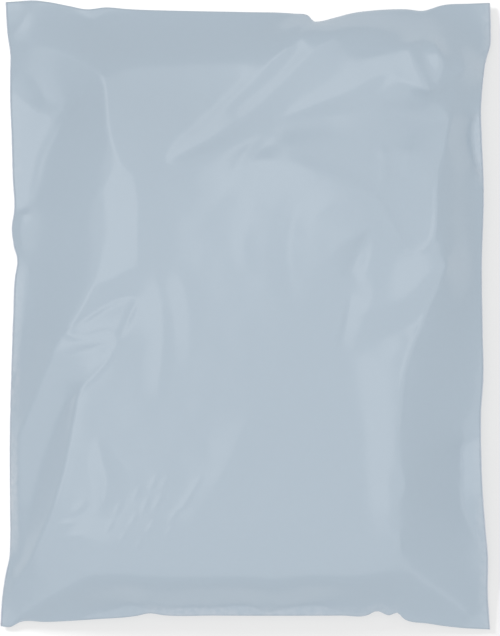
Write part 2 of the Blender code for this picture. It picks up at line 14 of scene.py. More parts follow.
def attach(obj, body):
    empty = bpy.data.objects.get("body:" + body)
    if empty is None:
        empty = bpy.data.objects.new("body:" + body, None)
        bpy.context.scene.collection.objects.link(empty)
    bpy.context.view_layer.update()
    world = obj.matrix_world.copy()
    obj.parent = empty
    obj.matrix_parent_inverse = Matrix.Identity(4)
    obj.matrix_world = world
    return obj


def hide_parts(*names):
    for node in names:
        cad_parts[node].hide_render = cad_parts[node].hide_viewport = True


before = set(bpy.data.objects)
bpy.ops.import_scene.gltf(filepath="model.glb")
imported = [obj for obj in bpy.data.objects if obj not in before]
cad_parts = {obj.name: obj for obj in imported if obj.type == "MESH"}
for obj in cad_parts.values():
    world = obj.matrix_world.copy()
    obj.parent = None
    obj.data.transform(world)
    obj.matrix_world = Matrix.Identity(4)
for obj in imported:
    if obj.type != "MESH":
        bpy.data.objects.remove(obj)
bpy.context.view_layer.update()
MM = 0.001

# %% [markdown]
# The camera. The photograph is taken from far off, so the bag's edges show no perspective, and a
# long lens from 3 m does the same. The picture is 500 by 636 pixels, and one pixel is 0.627 mm of
# table, which the bag's known length gives. The bag sits a little off the picture's middle, so the
# camera is moved aside.

# %% Camera
IMAGE_WIDTH = 500
IMAGE_HEIGHT = 636
MM_PER_PIXEL = 0.627
BAG_CENTRE_PIXEL = (245.5, 315.0)
CAMERA_HEIGHT = 3.0
SENSOR_LENGTH = 36.0

camera_data = bpy.data.cameras.new("camera")
camera_data.sensor_width = SENSOR_LENGTH
camera_data.lens = SENSOR_LENGTH * CAMERA_HEIGHT / (IMAGE_HEIGHT * MM_PER_PIXEL * MM)
camera = bpy.data.objects.new("camera", camera_data)
camera.location = (
    (IMAGE_WIDTH / 2 - BAG_CENTRE_PIXEL[0]) * MM_PER_PIXEL * MM,
    (BAG_CENTRE_PIXEL[1] - IMAGE_HEIGHT / 2) * MM_PER_PIXEL * MM,
    CAMERA_HEIGHT,
)
bpy.context.scene.collection.objects.link(camera)
bpy.context.scene.camera = camera
print("lens, mm:", round(camera_data.lens, 1))

# %% [markdown]
# The welded edge, where the two films are melted together and cut. It could be drawn as a Bezier
# curve by hand. Here each side is a list of x, y and height in millimetres with a smooth curve
# through it, so a point can be moved and the whole bag follows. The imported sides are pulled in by
# about 6 mm and lifted off the table, and the corners lie almost flat.

# %% The welded edge, side by side
LEFT_EDGE = [
    (-150,196,2), (-149.5,186,2.6), (-148.5,174,3.4), (-147,165,4.2), (-147,152,5.2), (-147,136,5.6),
    (-146.1,112,5.8), (-145.3,85,6), (-144.4,66,5.6), (-146,54,4.6), (-144.9,44,4.6), (-142.5,34,6),
    (-143.9,24,6.6), (-145,0,6.5), (-146.5,-45,6), (-147.2,-80,5.6), (-147.1,-115,5.2), (-147,-140,4.8),
    (-147.5,-151,4.4), (-150,-163,3.6), (-152,-176,2.6), (-153.3,-195,1.5),
]
BOTTOM_EDGE = [
    (-153.3,-195,1.5), (-148,-195.6,1.5), (-141,-192.3,2.5), (-125,-192.2,3.5), (-95,-190.5,5),
    (-68,-188.2,6.5), (-60,-186.6,7.5), (-52,-187.7,7), (-20,-188,7), (60,-188,7), (76,-187.9,7),
    (82,-185.2,8), (90,-187.8,7.5), (95,-186.2,7.5), (99,-190,6), (115,-193.3,4), (135,-196,2.5),
    (153,-197,1.5),
]
RIGHT_EDGE = [
    (153,-197,1.5), (151.5,-175,3), (151.5,-152,5), (149.7,-132,7.5), (148,-110,9.5), (147,-80,9.5),
    (147,-62,9), (148.5,-38,9), (148,-10,9), (147.5,30,9), (148.7,80,9), (147.5,110,9), (147,127,9),
    (148.5,148,8), (150.5,161,6.5), (152.8,168,5.5), (153.3,180,3.5), (153,195.5,2),
]
TOP_EDGE = [
    (153,195.5,2), (140,195,2.5), (122,193.6,4), (116,191.6,5), (113,190.6,6), (100,191.3,6),
    (80,190.5,6.5), (68,189,7.5), (55,185.6,10), (47,183.5,12), (43,183.2,12.5), (39,187.3,9),
    (30,188.5,7.5), (0,189.5,6.5), (-40,190.3,6), (-75,191.5,6), (-87,192.5,5.5), (-100,191.3,6),
    (-110,193.3,5), (-125,196.2,3.5), (-133,197,3), (-141,196.6,2.5), (-150,196,2),
]
print("points on the edge:", len(LEFT_EDGE + BOTTOM_EDGE + RIGHT_EDGE + TOP_EDGE))

# %% [markdown]
# Lines that hold the film. Film over a soft load is a stretched skin: it goes straight from one
# line to the next. The lines are the shoulders where it bends over the garment, the creases of a
# tucked corner and the feet of slopes, placed over the photograph. Each has a softness, which is
# about how many millimetres its bend is rounded over, and points x, y, height. At the top left the
# slack film is pushed in between two lips, with a flap turned up in the corner. Down the left side
# come a flat facet, a waist, and a long ridge with a dark, steep side.

# %% Held lines of the left side
LEFT_LINES = {
    "turned ear": (0.9, [(-133,196,3.2), (-136,189,5.2), (-141,181,6.4), (-146,175,5.8), (-148.4,172,5)]),
    "top hem facet": (0.9, [(-107,191.8,5.6), (-97,184.8,6.8), (-84,191.8,5.8)]),
    "arc over the tuck": (2.5, [
        (-146.5,157,5.2), (-137,165,10), (-123,166,15), (-112,163,19.5), (-100,157,25.5), (-91,151,31)]),
    "tuck upper lip": (0.9, [
        (-146.8,151.5,5.6), (-136,151,10.5), (-130,146,12.5), (-124,135,12.6), (-113,128.5,12.6)]),
    "tuck lower lip": (0.9, [
        (-146.5,136,5.8), (-137,133,6.6), (-130,128,7.8), (-124,126,9), (-113,128.5,12.6)]),
    "upper left flange": (1.6, [
        (-113,128.5,12.6), (-119,116,10), (-127,100,8.3), (-131,85,7.4), (-135,70,6.8), (-139,66.3,6.3),
        (-144,65.5,5.8)]),
    "edge of the left slope": (0.9, [(-139,62,9), (-141,53,8), (-139.5,43,8)]),
    "shoulder to tuck": (1.4, [(-91,151,31), (-100,142,24), (-110,133,15.4), (-113,128.5,12.6)]),
    "left shoulder, upper": (1.4, [
        (-91,151,31), (-88.5,146,32), (-86.5,130,33), (-85,115,33.4), (-81,102,33.2), (-77,94,33)]),
    "patch, upper edge": (1.4, [(-77,94,33), (-88,80,30.8), (-96,68.5,27)]),
    "patch, right edge": (0.9, [(-77,94,33), (-70,88,32.7), (-67,75,32.4), (-67,50,32.3), (-67,31,32.3)]),
    "patch, left edge": (1.4, [
        (-88,80,30.5), (-87.5,70,30.2), (-85.5,50,30.2), (-88.5,39,30.1), (-91,30,30), (-94,20,30)]),
    "patch, lower edge": (1, [(-67,31,32.3), (-78,26,31.6), (-85,22,30.9), (-94,20,30)]),
    "left waist": (1, [
        (-94,20,30), (-100,8,28.8), (-109,-8,27.4), (-118,-20,25.6), (-122,-30,23.8), (-127,-42,21.2),
        (-134,-58,17), (-142,-76,12.4)]),
    "lower left flange": (0.9, [
        (-142,-76,12.4), (-142.5,-95,12.8), (-142.5,-120,12.6), (-142.5,-145,9.4), (-147,-158,4)]),
    "left hem strip": (0.9, [
        (-142,34,6.2), (-137.5,31,7.4), (-137.5,15,7.8), (-139.5,-5,7.6), (-142,-25,7.1),
        (-146,-50,6.2)]),
    "lower left ridge": (1.4, [
        (-80,-17,31.5), (-84,-27,31.2), (-92,-37,31), (-101,-45,30.8), (-106,-65,30.7), (-109,-80,30.4),
        (-112,-95,30), (-117,-112,29.2), (-121,-124,27.6), (-128,-140,23.2), (-134,-152,17.6),
        (-141,-163,11.2), (-147,-175,5.6)]),
    "foot of the ridge": (1.4, [
        (-103,-46,29.8), (-111,-53,24.2), (-117,-66,21.2), (-122,-80,19.2), (-127,-95,17.4),
        (-131,-110,16.8), (-134,-125,16), (-138,-142,13), (-140,-152,10), (-147,-161,4)]),
}
print("lines of the left side:", len(LEFT_LINES))

# %% [markdown]
# Along the bottom, right and top the film bends over the garment and falls to the weld, sharply
# where the garment presses hard and broadly elsewhere.

# %% Held lines of the shoulders
SHOULDER_LINES = {
    "lower left hip": (2, [
        (-95,-160,27), (-105,-166,22.5), (-120,-175,16), (-135,-184,9), (-146,-192,3)]),
    "bottom shoulder": (5, [
        (-95,-160,27), (-60,-163.5,26.6), (0,-164.5,26.4), (50,-162.5,26.4), (85,-157,26.8),
        (93,-150,28)]),
    "lower right hip": (2.5, [
        (93,-150,28), (100,-156,25), (112,-166,19.4), (125,-175,13.6), (140,-187,7)]),
    "right shoulder, lower": (1.3, [
        (93,-150,28), (96,-142,29.4), (91.5,-130,30.3), (93,-118,31), (99,-106,31), (97,-99,31.5),
        (94.5,-85,32), (95,-60,32.2), (97,-40,32.4), (104,-20,32.2), (109,-5,31.8), (117,12,32.6),
        (125,31,34.4)]),
    "right shoulder, upper": (1.3, [
        (125,31,34.4), (118,43,32.4), (118.5,55,33.2), (118.5,70,32.8), (120,90,30.8), (124,105,27.8),
        (127,122,24)]),
    "right band, inner edge": (5, [
        (80,-146,28), (77,-130,28.6), (75,-100,28.9), (72,-60,29), (67,-38,28.9), (64,-20,28.9)]),
    "top shoulder": (5, [(-91,151,31), (-80,153,28.8), (-50,154,26), (-20,155,24.6), (4,155.5,24.8)]),
    "top right shoulder": (3.5, [
        (4,155.5,24.8), (20,164,24.9), (30,171,24.2), (37,176,23.2), (48,178,22), (58,178.5,21),
        (80,177.5,20.8), (100,175,21.6), (112,173.5,22), (120,170,22.6), (130,163,23.8), (138,155,25)]),
    "top right corner": (1.2, [(138,155,25), (131,149,25.8), (125,144,28), (118,141,31.6)]),
    "upper right hem strip": (0.9, [(146,127,8.7), (142,121,8), (141,110,7.8), (143.5,97,8), (148,86,9)]),
}
print("lines of the shoulders:", len(SHOULDER_LINES))

# %% [markdown]
# From the left to the top the film is pulled into two slanting ridges, and right of them the
# garment swells to a rounded crest. A broad pleat sweeps up to the top right corner like a wing,
# with a valley and a small ridge beside it and a hollow like a lens under it.

# %% Held lines of the diagonals and the wing
WING_LINES = {
    "round crest": (1.6, [
        (-8,90,29.8), (0,93,30.3), (10,95,31), (20,94.5,32.2), (35,92,33.9), (50,86.5,35), (62,81.5,35.6),
        (72,77.5,35.9), (80,73.5,35.6), (85,67,35), (90,58,34.2), (95,49,33.1), (100,41,32)]),
    "foot of the round crest": (3.5, [
        (24,107,29.8), (36,104.5,30.6), (50,99,31.7), (62,93.5,32.6), (76,87,33.3), (87,79,33.4),
        (95,67,33.1), (99.5,56,32.5), (104,46,31.8)]),
    "slack left of the middle": (6, [(-54,86,30.4), (-50,62,30.2), (-46,38,30.6)]),
    "foot of the diagonals": (1.4, [
        (-51,94,28.4), (-48,103,28), (-41.5,110.5,27.6), (-32.5,118,27), (-23.5,126.5,26.4),
        (-13,136.5,25.7), (-2.4,146.5,25.2)]),
    "diagonal ridge, outer": (1.1, [
        (-48,97,28.8), (-39,106,28.9), (-30,113.5,28.5), (-20,122,27.9), (-10,131.5,27.3), (0,141,26.9),
        (9,150.5,26.7), (20,161.5,25.9), (30,169.8,24.8), (36.5,175,23.2)]),
    "between the diagonals": (1.6, [
        (-6,128.3,27.3), (0,132.9,26.9), (8.6,139.4,26.6), (20,150.5,26.1), (28,160,25.4),
        (32.5,167.5,24.4)]),
    "diagonal ridge, inner": (1.1, [
        (-44,97.5,29.3), (-30,105,30.2), (-20,110.3,30.2), (-10,116.6,29.9), (0,123.3,29.2),
        (10,131.3,28.5), (20,141.2,28), (30,151.8,27.6), (38,160,27), (46,167,26.2), (54,173,24.6),
        (58,177.5,21.6)]),
    "under the diagonals": (2.5, [
        (-44,90,28), (-32.5,95.5,26.7), (-18.8,100.5,26.1), (-5,105.5,26), (2,108.5,25.9),
        (11.4,113,25.9), (22.4,117.5,25.8), (36,120.5,25.8), (50,122.5,26.1), (62,124,26.9),
        (74,126,27.6)]),
    "swept ridge, foot": (2, [
        (18,122.2,26.3), (24,126.5,26.6), (31,131.5,27.1), (40,137.5,27.6), (50,144,28), (60,150,28.3),
        (70,155.5,28.6), (82,161,29), (92,165,29.4), (101,168,29.8)]),
    "swept ridge": (1.2, [
        (17,121,26.3), (25,124,27.1), (35,127.8,28.3), (45,131.3,29.3), (55,135,30.1), (65,139.2,30.7),
        (75,144,31.2), (84,148.4,31.7), (90,149.6,32.1), (95,146.2,32.6), (101,143.2,33.3),
        (107,140.8,34), (114,138.8,34.5)]),
    "wing, right edge": (0.9, [(101,168,29.8), (104,159,32.3), (108.5,148.5,34), (114,138.8,34.5)]),
    "valley beside the wing": (1.1, [
        (107,170,27.2), (111,161,29.7), (114.5,153,30.9), (117,146.5,31.5), (118,141,31.6)]),
    "ridge by the tip": (1.1, [
        (113,173,22.6), (117.5,169.5,27.2), (121,162.5,31), (122.5,155,31.8), (120.5,148,31.2)]),
    "lens, upper edge": (1.4, [
        (82,130.5,28.2), (95,135.5,29.8), (108,137.6,31.2), (118,137.5,30.2), (126,139,24.6)]),
    "lens, lower edge": (2, [
        (88,127,26.2), (100,124.5,24.2), (112,122.5,23.6), (121,121,23.4), (127,122,23.4)]),
}
print("lines of the diagonals and the wing:", len(WING_LINES))

# %% [markdown]
# Next to the edge the empty film bends up or down in small flat facets. The garment's corner pokes
# the film out to a point at the right, with a sharp dent left of it, and soft plateaus fill the
# rest.

# %% Held lines of the hems and the middle
MIDDLE_LINES = {
    "right hem strip": (0.9, [
        (147,-77,9.4), (137,-80,8.2), (135.5,-100,7.8), (136,-120,6.8), (142,-133,5.8), (149,-147,5.2)]),
    "bottom hem, left": (0.9, [(-102,-189,5.3), (-85,-185,6.4), (-68,-181.5,7.6), (-62,-185.5,7.6)]),
    "bottom hem, middle": (0.9, [
        (-60,-184.5,7.6), (-40,-183,7.4), (-20,-183,7.4), (5,-182.5,7.4), (13,-187,7)]),
    "bottom hem, right": (0.9, [(15,-186.5,7.1), (25,-183.5,7.4), (50,-182.5,7.4), (60,-186.8,7.1)]),
    "point crest": (1.3, [
        (74,2,32.3), (80,5,32.6), (86,6.5,33), (93,8,33.6), (98,10,34.1), (105,15,34.8), (112,23,35),
        (118,28.5,34.9), (124,30.8,34.5)]),
    "above the point": (4, [(82,27,31), (90,34,30.6), (98,39,31), (106,41,31.6)]),
    "valley below the point": (2, [
        (66,-18,30.2), (76,-16,29.8), (85,-13,29.6), (93,-10.5,29.6), (100,-7.5,29.8), (108,-5,30.8)]),
    "right band, top": (2, [
        (89,-138,29.6), (88.5,-120,30.8), (89,-100,31.2), (88,-60,31.6), (89,-35,31.8), (94,-18,31.8)]),
    "bottom plateau": (8, [
        (-72,-122,30), (-40,-126,29.9), (0,-128,29.8), (40,-126,29.8), (62,-122,29.8)]),
    "corner plateau": (4, [(-106,-138.5,28.3), (-98,-139.5,29), (-91,-140,29.2), (-76,-139,29.4)]),
    "middle rise": (6, [(-32,26,31.2), (-12,21,31.8), (5,17,32.3), (22,12.5,32.8), (42,10,33)]),
    "dent, upper edge": (1.2, [(50,35,33.4), (58,41.5,34.2), (66,47.5,34.9), (77,55.5,35.2)]),
    "dent, bottom": (1.2, [(77,55.5,35.2), (73,44,31.6), (68,34,29.9), (64,26.5,30.3)]),
    "dent, right bank": (1.6, [(79.5,57,35), (79,46,33.4), (77,34,32.2), (74,24,31.9)]),
    "dent, lower lip": (1, [
        (50.5,35.5,33.6), (54,31.5,33), (58.5,26,32.1), (61,19,31.8), (63.5,10,31.5)]),
    "first fold, valley": (1.1, [
        (-67,11,29), (-75,10.5,28.4), (-84,7,27.9), (-92,2,27.4), (-100,-3,26.9), (-107,-7,26.6)]),
}
HELD_LINES = LEFT_LINES | SHOULDER_LINES | WING_LINES | MIDDLE_LINES
print("held lines in all:", len(HELD_LINES))

# %% [markdown]
# Wrinkles. A wrinkle is film that has nowhere to go: a crest with a flank on each side. Each is a
# path of x, y, height and the widths of its left and right flanks, as seen by someone walking along
# it. A wide flank beside a narrow one leans like a real fold, and a height below zero makes a
# groove.

# %% Wrinkles
FOLDS = {
    "ridge under the diagonals": [(-8,90,0,6,5), (1,102.5,0.7,7,5), (9,109.5,0.8,7,5), (20,112,0,4,5)],
    "light wrinkle, upper": [
        (99,86,0,8,6), (101,93,1,18,12), (102,99,1.7,22,16), (103,107,1,20,18), (104,118,0.3,14,16),
        (105,128,0,8,8)],
    "light wrinkle, lower": [(111,76,0,8,4), (114.5,84,0.5,15,4), (116,90,0.5,14,4), (117,97,0,8,3)],
    "ridge below the dent": [
        (69,-14,0,5,5), (76,0,0.6,12,12), (79,14,0.6,12,14), (80,28,0.3,8,12), (80,40,0,4,8)],
    "left fan, upper": [
        (-112,-10.5,0.3,2,4), (-100,-6,0.7,2.6,6), (-92,-1,0.9,2.8,8), (-84,4,0.9,2.8,8),
        (-75,7.5,0.6,2.6,6), (-67,8.5,0,2,4)],
    "left fan, middle": [
        (-112,-11.5,0.3,2,3), (-105,-13.5,0.8,2.6,4), (-98,-13,0.8,2.8,5), (-91,-11,0.7,2.8,5),
        (-85,-10.3,0.5,2.6,4), (-78,-11.5,0,2,3)],
    "left fan, lower": [
        (-122,-27,0.2,3,5), (-112,-26,1,5,8), (-103,-23.5,1.3,6,9), (-93,-21,1.2,6,9), (-83,-18,0,4,5)],
    "upright wrinkle, left": [
        (-54,-54,0,8,5), (-53,-38,0.55,11,6), (-51,-20,0.55,12,6), (-51.5,-2,0.4,11,6), (-54,14,0.25,8,5),
        (-58,30,0,5,4)],
    "upright wrinkle, right": [
        (-37,-40,0,9,14), (-35,-22,0.3,12,20), (-35,2,0.45,13,20), (-39,18,0.5,11,14), (-45,30,0,6,8)],
    "lower diagonal": [(-36,-132,0,10,14), (-20,-108,0.6,17,22), (-4,-78,0.9,18,26), (8,-50,0,12,20)],
    "corner of the contents": [
        (-92,-76,0,3,3), (-89,-90,1,8,8), (-86,-104,1.5,14,9), (-88,-116,0.8,12,7), (-91,-126,0,8,6)],
    "notch strip": [(22,176,0,5,3), (32,181,0.9,6,4), (41,185.5,0.2,4,3)],
    "upright streak": [
        (84,107,0,3,3), (86.5,98,0.6,4,6), (86.5,88,0.7,4,6), (84,79,0.4,4,4), (80,74,0,3,3)],
    "notch under the swept ridge": [
        (92,151,0,3,8), (87,146,-0.3,3.5,9), (82,141,-0.3,4,9), (76,136,0,4,6)],
    "crease right of the fan": [
        (-67,11,0,2.5,2.5), (-70,4,-0.6,3,3), (-75,-7,-0.6,3,3), (-80,-17,0,2.5,2.5)],
}
print("wrinkles:", len(FOLDS))

# %% [markdown]
# Finer wrinkles. A lip is the thin welt that film keeps along a sharp bend, and shows as a bright
# line. The rest are soft folds and hollows of less than a millimetre.

# %% Finer wrinkles
FINE_FOLDS = {
    "lip, right shoulder": [
        (120,92,0,2.5,2), (118.7,78,0.5,3,2), (118.4,60,0.5,3,2), (116,47,0.5,3,2.5),
        (110,40.5,0.5,2.5,3), (101,40,0.3,2.5,2.5)],
    "lip, point": [
        (124,30,0,2,2), (120,18,0.4,3,2), (112,1,0.4,3,2), (106,-13,0.4,3,2), (99,-34,0.4,3,2),
        (96.5,-58,0.3,3,2), (95,-82,0,2,2)],
    "lip, lower left ridge": [
        (-80,-17,0,2,2), (-84,-26,0.5,2,3), (-93,-37,0.5,2,3), (-102,-46,0.5,2,3), (-107,-66,0.4,2,3),
        (-112,-93,0.4,2,3), (-120,-121,0.4,2,3), (-133,-149,0.3,2,3), (-142,-165,0,2,2)],
    "groove below the dent": [
        (65,14,0,6,2.2), (64,5,-0.7,9,2.4), (62,-5,-0.9,10,2.4), (60,-14,-0.7,9,2.4), (58,-24,0,5,2.4)],
    "lip, round crest": [
        (72,77.5,0,3,3), (80,73.2,0.4,3,4), (85,67,0.4,3,4), (90,58,0.4,3,4), (95,49,0.4,3,4),
        (100,41,0,2,3)],
    "arc over the dent": [
        (38,52,0,8,7), (46,64,0.45,12,12), (56,71,0.6,12,14), (68,70.5,0.6,10,12), (76,63,0.4,7,8),
        (80,56,0,4,4)],
    "upright fold, middle 1": [(-34,44,0,7,7), (-24,62,0.15,9,8), (-8,80,0.2,9,8), (2,94,0,6,6)],
    "upright fold, middle 2": [(2,24,0,6,6), (-1,42,0.2,8,7), (4,64,0.15,9,8), (14,84,0,6,6)],
    "upright fold, middle 3": [(32,20,0,6,6), (29,38,0.15,8,7), (31,58,0.2,9,8), (38,80,0,6,6)],
    "lip, left facet": [
        (-112,129,0,2,3), (-118,117,0.5,2,3.5), (-126.5,100,0.5,2,3.5), (-130.5,85,0.4,2,3),
        (-135,69,0,2,3)],
    "hollow right of the middle": [
        (32,4,0,8,14), (27,22,-0.5,12,26), (26,44,-0.6,12,30), (31,64,-0.5,12,26), (38,78,0,8,14)],
}
print("finer wrinkles:", len(FINE_FOLDS))

# %% [markdown]
# Crinkles: short, faint strokes where thin film has been handled. Each is x, y, length, angle in
# degrees, height and flank width.

# %% Crinkles
CRINKLES = [
    (-57,-104,13,62,0.3,2.4), (-62,-118,14,66,0.35,2.4), (-54,-116,15,60,0.35,2.6),
    (-37,-116,18,56,0.4,3), (-44,-124,16,58,0.35,2.6), (-70,-128,14,62,0.35,2.4),
    (-76,-138,12,58,0.3,2.2), (-59,-132,14,60,0.35,2.4), (-47,-134,12,58,0.25,2.2),
    (-88,-116,13,68,0.3,2.4), (-79,-120,14,66,0.3,2.4), (-67,-110,12,64,0.3,2.2),
    (-50,-104,12,58,0.25,2.2), (-31,-106,16,58,0.3,2.8), (-84,-131,11,60,0.3,2.2),
    (-66,-142,11,56,0.25,2.2), (-103,-120,14,40,0.4,3.5), (-109,-138,18,12,0.4,3),
    (-112,-130,15,12,0.35,3), (0,-140,9,-50,0.2,2.2), (5,-106,10,62,0.15,2.2),
]
print("crinkles:", len(CRINKLES))

# %% [markdown]
# A smooth path. Straight lines from point to point would kink, so the path bends through its
# points, and long and short spans are weighed so that it doesn't overshoot.

# %% Smooth path
EDGE_STEP = 2.5


def smooth_path(points, step):
    """Hermite curve: each span joins two points, with the tangents of the spans beside it."""
    knots = np.array(points, float)
    knots = np.vstack([2 * knots[0] - knots[1], knots, 2 * knots[-1] - knots[-2]])
    spans = np.linalg.norm(np.diff(knots[:, :2], axis=0), axis=1)[:, None]
    slopes = np.diff(knots, axis=0) / spans
    tangents = (slopes[:-1] * spans[1:] + slopes[1:] * spans[:-1]) / (spans[:-1] + spans[1:])
    pieces = []
    for i, length in enumerate(spans[1:-1, 0]):
        count = max(1, round(length / step))
        t = np.arange(count)[:, None] / count
        ends = knots[i + 1] * (2 * t**3 - 3 * t**2 + 1) + knots[i + 2] * (3 * t**2 - 2 * t**3)
        bend = tangents[i] * (t**3 - 2 * t**2 + t) + tangents[i + 1] * (t**3 - t**2)
        pieces.append(ends + length * bend)
    return np.vstack(pieces + [knots[-2]])


sides = (LEFT_EDGE, BOTTOM_EDGE, RIGHT_EDGE, TOP_EDGE)
ring = np.vstack([smooth_path(side, EDGE_STEP)[:-1] for side in sides])
print("welded edge:", len(ring), "places around the bag")

# %% [markdown]
# The net. Places on the edge and the held lines are joined into triangles, with an even field of
# free places between. A collar of places just outside keeps the later softening from rounding the
# edge down. Where two lines meet they share a place.

# %% Places on the edge and the held lines
LINE_STEP = 3.0
COLLAR = 12.0
SHARED_WITHIN = 1.3
EDGE_SOFTNESS = 0.7


def outward(path):
    """Unit normals that point out of a closed path that runs anticlockwise."""
    ahead = np.roll(path[:, :2], -1, axis=0) - np.roll(path[:, :2], 1, axis=0)
    return np.column_stack([ahead[:, 1], -ahead[:, 0]]) / np.linalg.norm(ahead, axis=1)[:, None]


def held_places():
    """Places x, y, height, softness, and the edges that join them along each line."""
    collar = ring[:, :2] + outward(ring) * COLLAR
    places = [(*place, EDGE_SOFTNESS) for place in ring]
    places += [(*place, height, EDGE_SOFTNESS) for place, height in zip(collar, ring[:, 2])]
    edges = [(i, (i + 1) % len(ring)) for i in range(len(ring))]
    for softness, points in HELD_LINES.values():
        chain = []
        for place in smooth_path(points, LINE_STEP):
            gaps = np.hypot(*(np.array(places)[:, :2] - place[:2]).T)
            near = int(gaps.argmin())
            if gaps[near] > SHARED_WITHIN:
                near = len(places)
                places.append((*place, softness))
            if near not in chain:
                chain.append(near)
        edges += list(zip(chain[:-1], chain[1:]))
    return np.array(places), edges


held, held_edges = held_places()
print("held places:", len(held))

# %% [markdown]
# The free places stand in staggered rows, which makes near-equal triangles, and Delaunay's rule,
# which prefers fat triangles to thin ones, joins everything up.

# %% The net
FILL_STEP = 7.0
ROW_SPACING = 0.866
FIELD_HALF_WIDTH = 166
FIELD_HALF_LENGTH = 210
FREE_CLEARANCE = 0.55
FREE_SOFTNESS = 5.0
MERGED_WITHIN = 0.01


def far_from(places, taken, clearance):
    """The places that are further than the clearance from all that are taken."""
    gaps = np.linalg.norm(places[:, None, :2] - taken[None, :, :2], axis=2)
    return places[gaps.min(axis=1) > clearance]


def free_places(taken):
    """An even, staggered field of places whose heights are still unknown."""
    across = np.arange(-FIELD_HALF_WIDTH, FIELD_HALF_WIDTH + 1, FILL_STEP)
    up = np.arange(-FIELD_HALF_LENGTH, FIELD_HALF_LENGTH + 1, FILL_STEP * ROW_SPACING)
    x, y = np.meshgrid(across, up)
    x[::2] += FILL_STEP / 2
    field = far_from(np.column_stack([x.ravel(), y.ravel()]), taken, FILL_STEP * FREE_CLEARANCE)
    return np.column_stack([field, np.full(len(field), np.nan), np.full(len(field), FREE_SOFTNESS)])


def join_net(places, edges):
    """Delaunay triangles over the places, keeping the given edges."""
    spots = [Vector(place[:2]) for place in places]
    found = delaunay_2d_cdt(spots, edges, [], 0, MERGED_WITHIN, True)
    flat = np.array([tuple(place) for place in found[0]])
    source = np.array([origin[0] if origin else -1 for origin in found[3]])
    known = np.where(source[:, None] >= 0, places[source, 2:], [np.nan, 1.0])
    return flat, np.array(found[2]), known


flat, triangles, known = join_net(np.vstack([held, free_places(held)]), held_edges)
print("net:", len(flat), "places,", len(triangles), "triangles")

# %% [markdown]
# Settling. A stretched skin pulls each free place level with those around it. Doing that a few
# hundred times, with short links pulling harder, gives the shape that film takes between the lines.
# A cloth simulation would put its folds where it likes, and here they lie where the photograph has
# them.

# %% Settle the free places
SETTLING_ROUNDS = 600
START_LEVEL = 20.0


def settle(flat, triangles, height):
    """Each free height becomes the mean of its neighbours' heights, weighed by 1 / distance."""
    sides = [triangles[:, [0, 1]], triangles[:, [1, 2]], triangles[:, [2, 0]]]
    links = np.unique(np.sort(np.vstack(sides), axis=1), axis=0)
    one, two = np.vstack([links, links[:, ::-1]]).T
    pull = 1 / np.linalg.norm(flat[one] - flat[two], axis=1)
    total = np.bincount(one, pull, len(flat))
    free = np.isnan(height)
    level = np.where(free, START_LEVEL, height)
    for _ in range(SETTLING_ROUNDS):
        level = np.where(free, np.bincount(one, pull * level[two], len(flat)) / total, level)
    return level


level = settle(flat, triangles, known[:, 0])
print("settled film, mm:", round(level.min(), 1), "to", round(level.max(), 1))

# %% [markdown]
# A height map. The flat triangles are laid onto small square cells, where rounding and wrinkles are
# simple sums. Each triangle is dotted all over, each dotted cell remembers its triangle, and the
# cell's height comes from that triangle's plane.

# %% Height map
CELL = 0.75
LOW = np.array([-168.0, -210.0])
MAP_SIZE = np.array([336.0, 420.0])
COUNT = (MAP_SIZE / CELL).astype(int) + 1
DOTS = 44
BATCHES = 8
LEAST_SOFTNESS = 0.5
MOST_SOFTNESS = 8

columns, rows = np.meshgrid(*(low + CELL * np.arange(count) for low, count in zip(LOW, COUNT)))


def triangle_of_cell(corners):
    """The number of the triangle that covers each cell, found by dotting every triangle."""
    i, j = np.meshgrid(np.arange(DOTS + 1), np.arange(DOTS + 1))
    i, j = i[i + j <= DOTS], j[i + j <= DOTS]
    weights = np.column_stack([i, j, DOTS - i - j]) / DOTS
    owner = np.zeros(columns.shape, int)
    for part in np.array_split(np.arange(len(corners)), BATCHES):
        dots = np.einsum("dk,tkc->tdc", weights, corners[part])
        cell = np.clip(np.round((dots - LOW) / CELL).astype(int), 0, COUNT - 1)
        owner[cell[..., 1], cell[..., 0]] = part[:, None]
    return owner


def lay_on_cells(owner, corners, at_corners):
    """Value = a + b x + c y on each triangle, taken at the middle of every cell it covers."""
    side_1, side_2 = corners[:, 1] - corners[:, 0], corners[:, 2] - corners[:, 0]
    rise_1, rise_2 = at_corners[:, 1] - at_corners[:, 0], at_corners[:, 2] - at_corners[:, 0]
    twice_area = side_1[:, 0] * side_2[:, 1] - side_1[:, 1] * side_2[:, 0]
    b = (rise_1 * side_2[:, 1] - rise_2 * side_1[:, 1]) / twice_area
    c = (rise_2 * side_1[:, 0] - rise_1 * side_2[:, 0]) / twice_area
    a = at_corners[:, 0] - b * corners[:, 0, 0] - c * corners[:, 0, 1]
    return a[owner] + b[owner] * columns + c[owner] * rows


corners = flat[triangles]
owner = triangle_of_cell(corners)
film = lay_on_cells(owner, corners, level[triangles])
softness = lay_on_cells(owner, corners, known[triangles, 1]).clip(LEAST_SOFTNESS, MOST_SOFTNESS)
print("height map:", columns.shape, "cells of", CELL, "mm")

# %% [markdown]
# Softening. Film doesn't break at a crease, it bends. Heat spreading from cell to cell rounds the
# map, further where the softness is greater, so crisp creases and broad shoulders come out of the
# same few lines.

# %% Soften the bends
SPREAD_ROUNDS = 110
STEADY_SHARE = 0.24


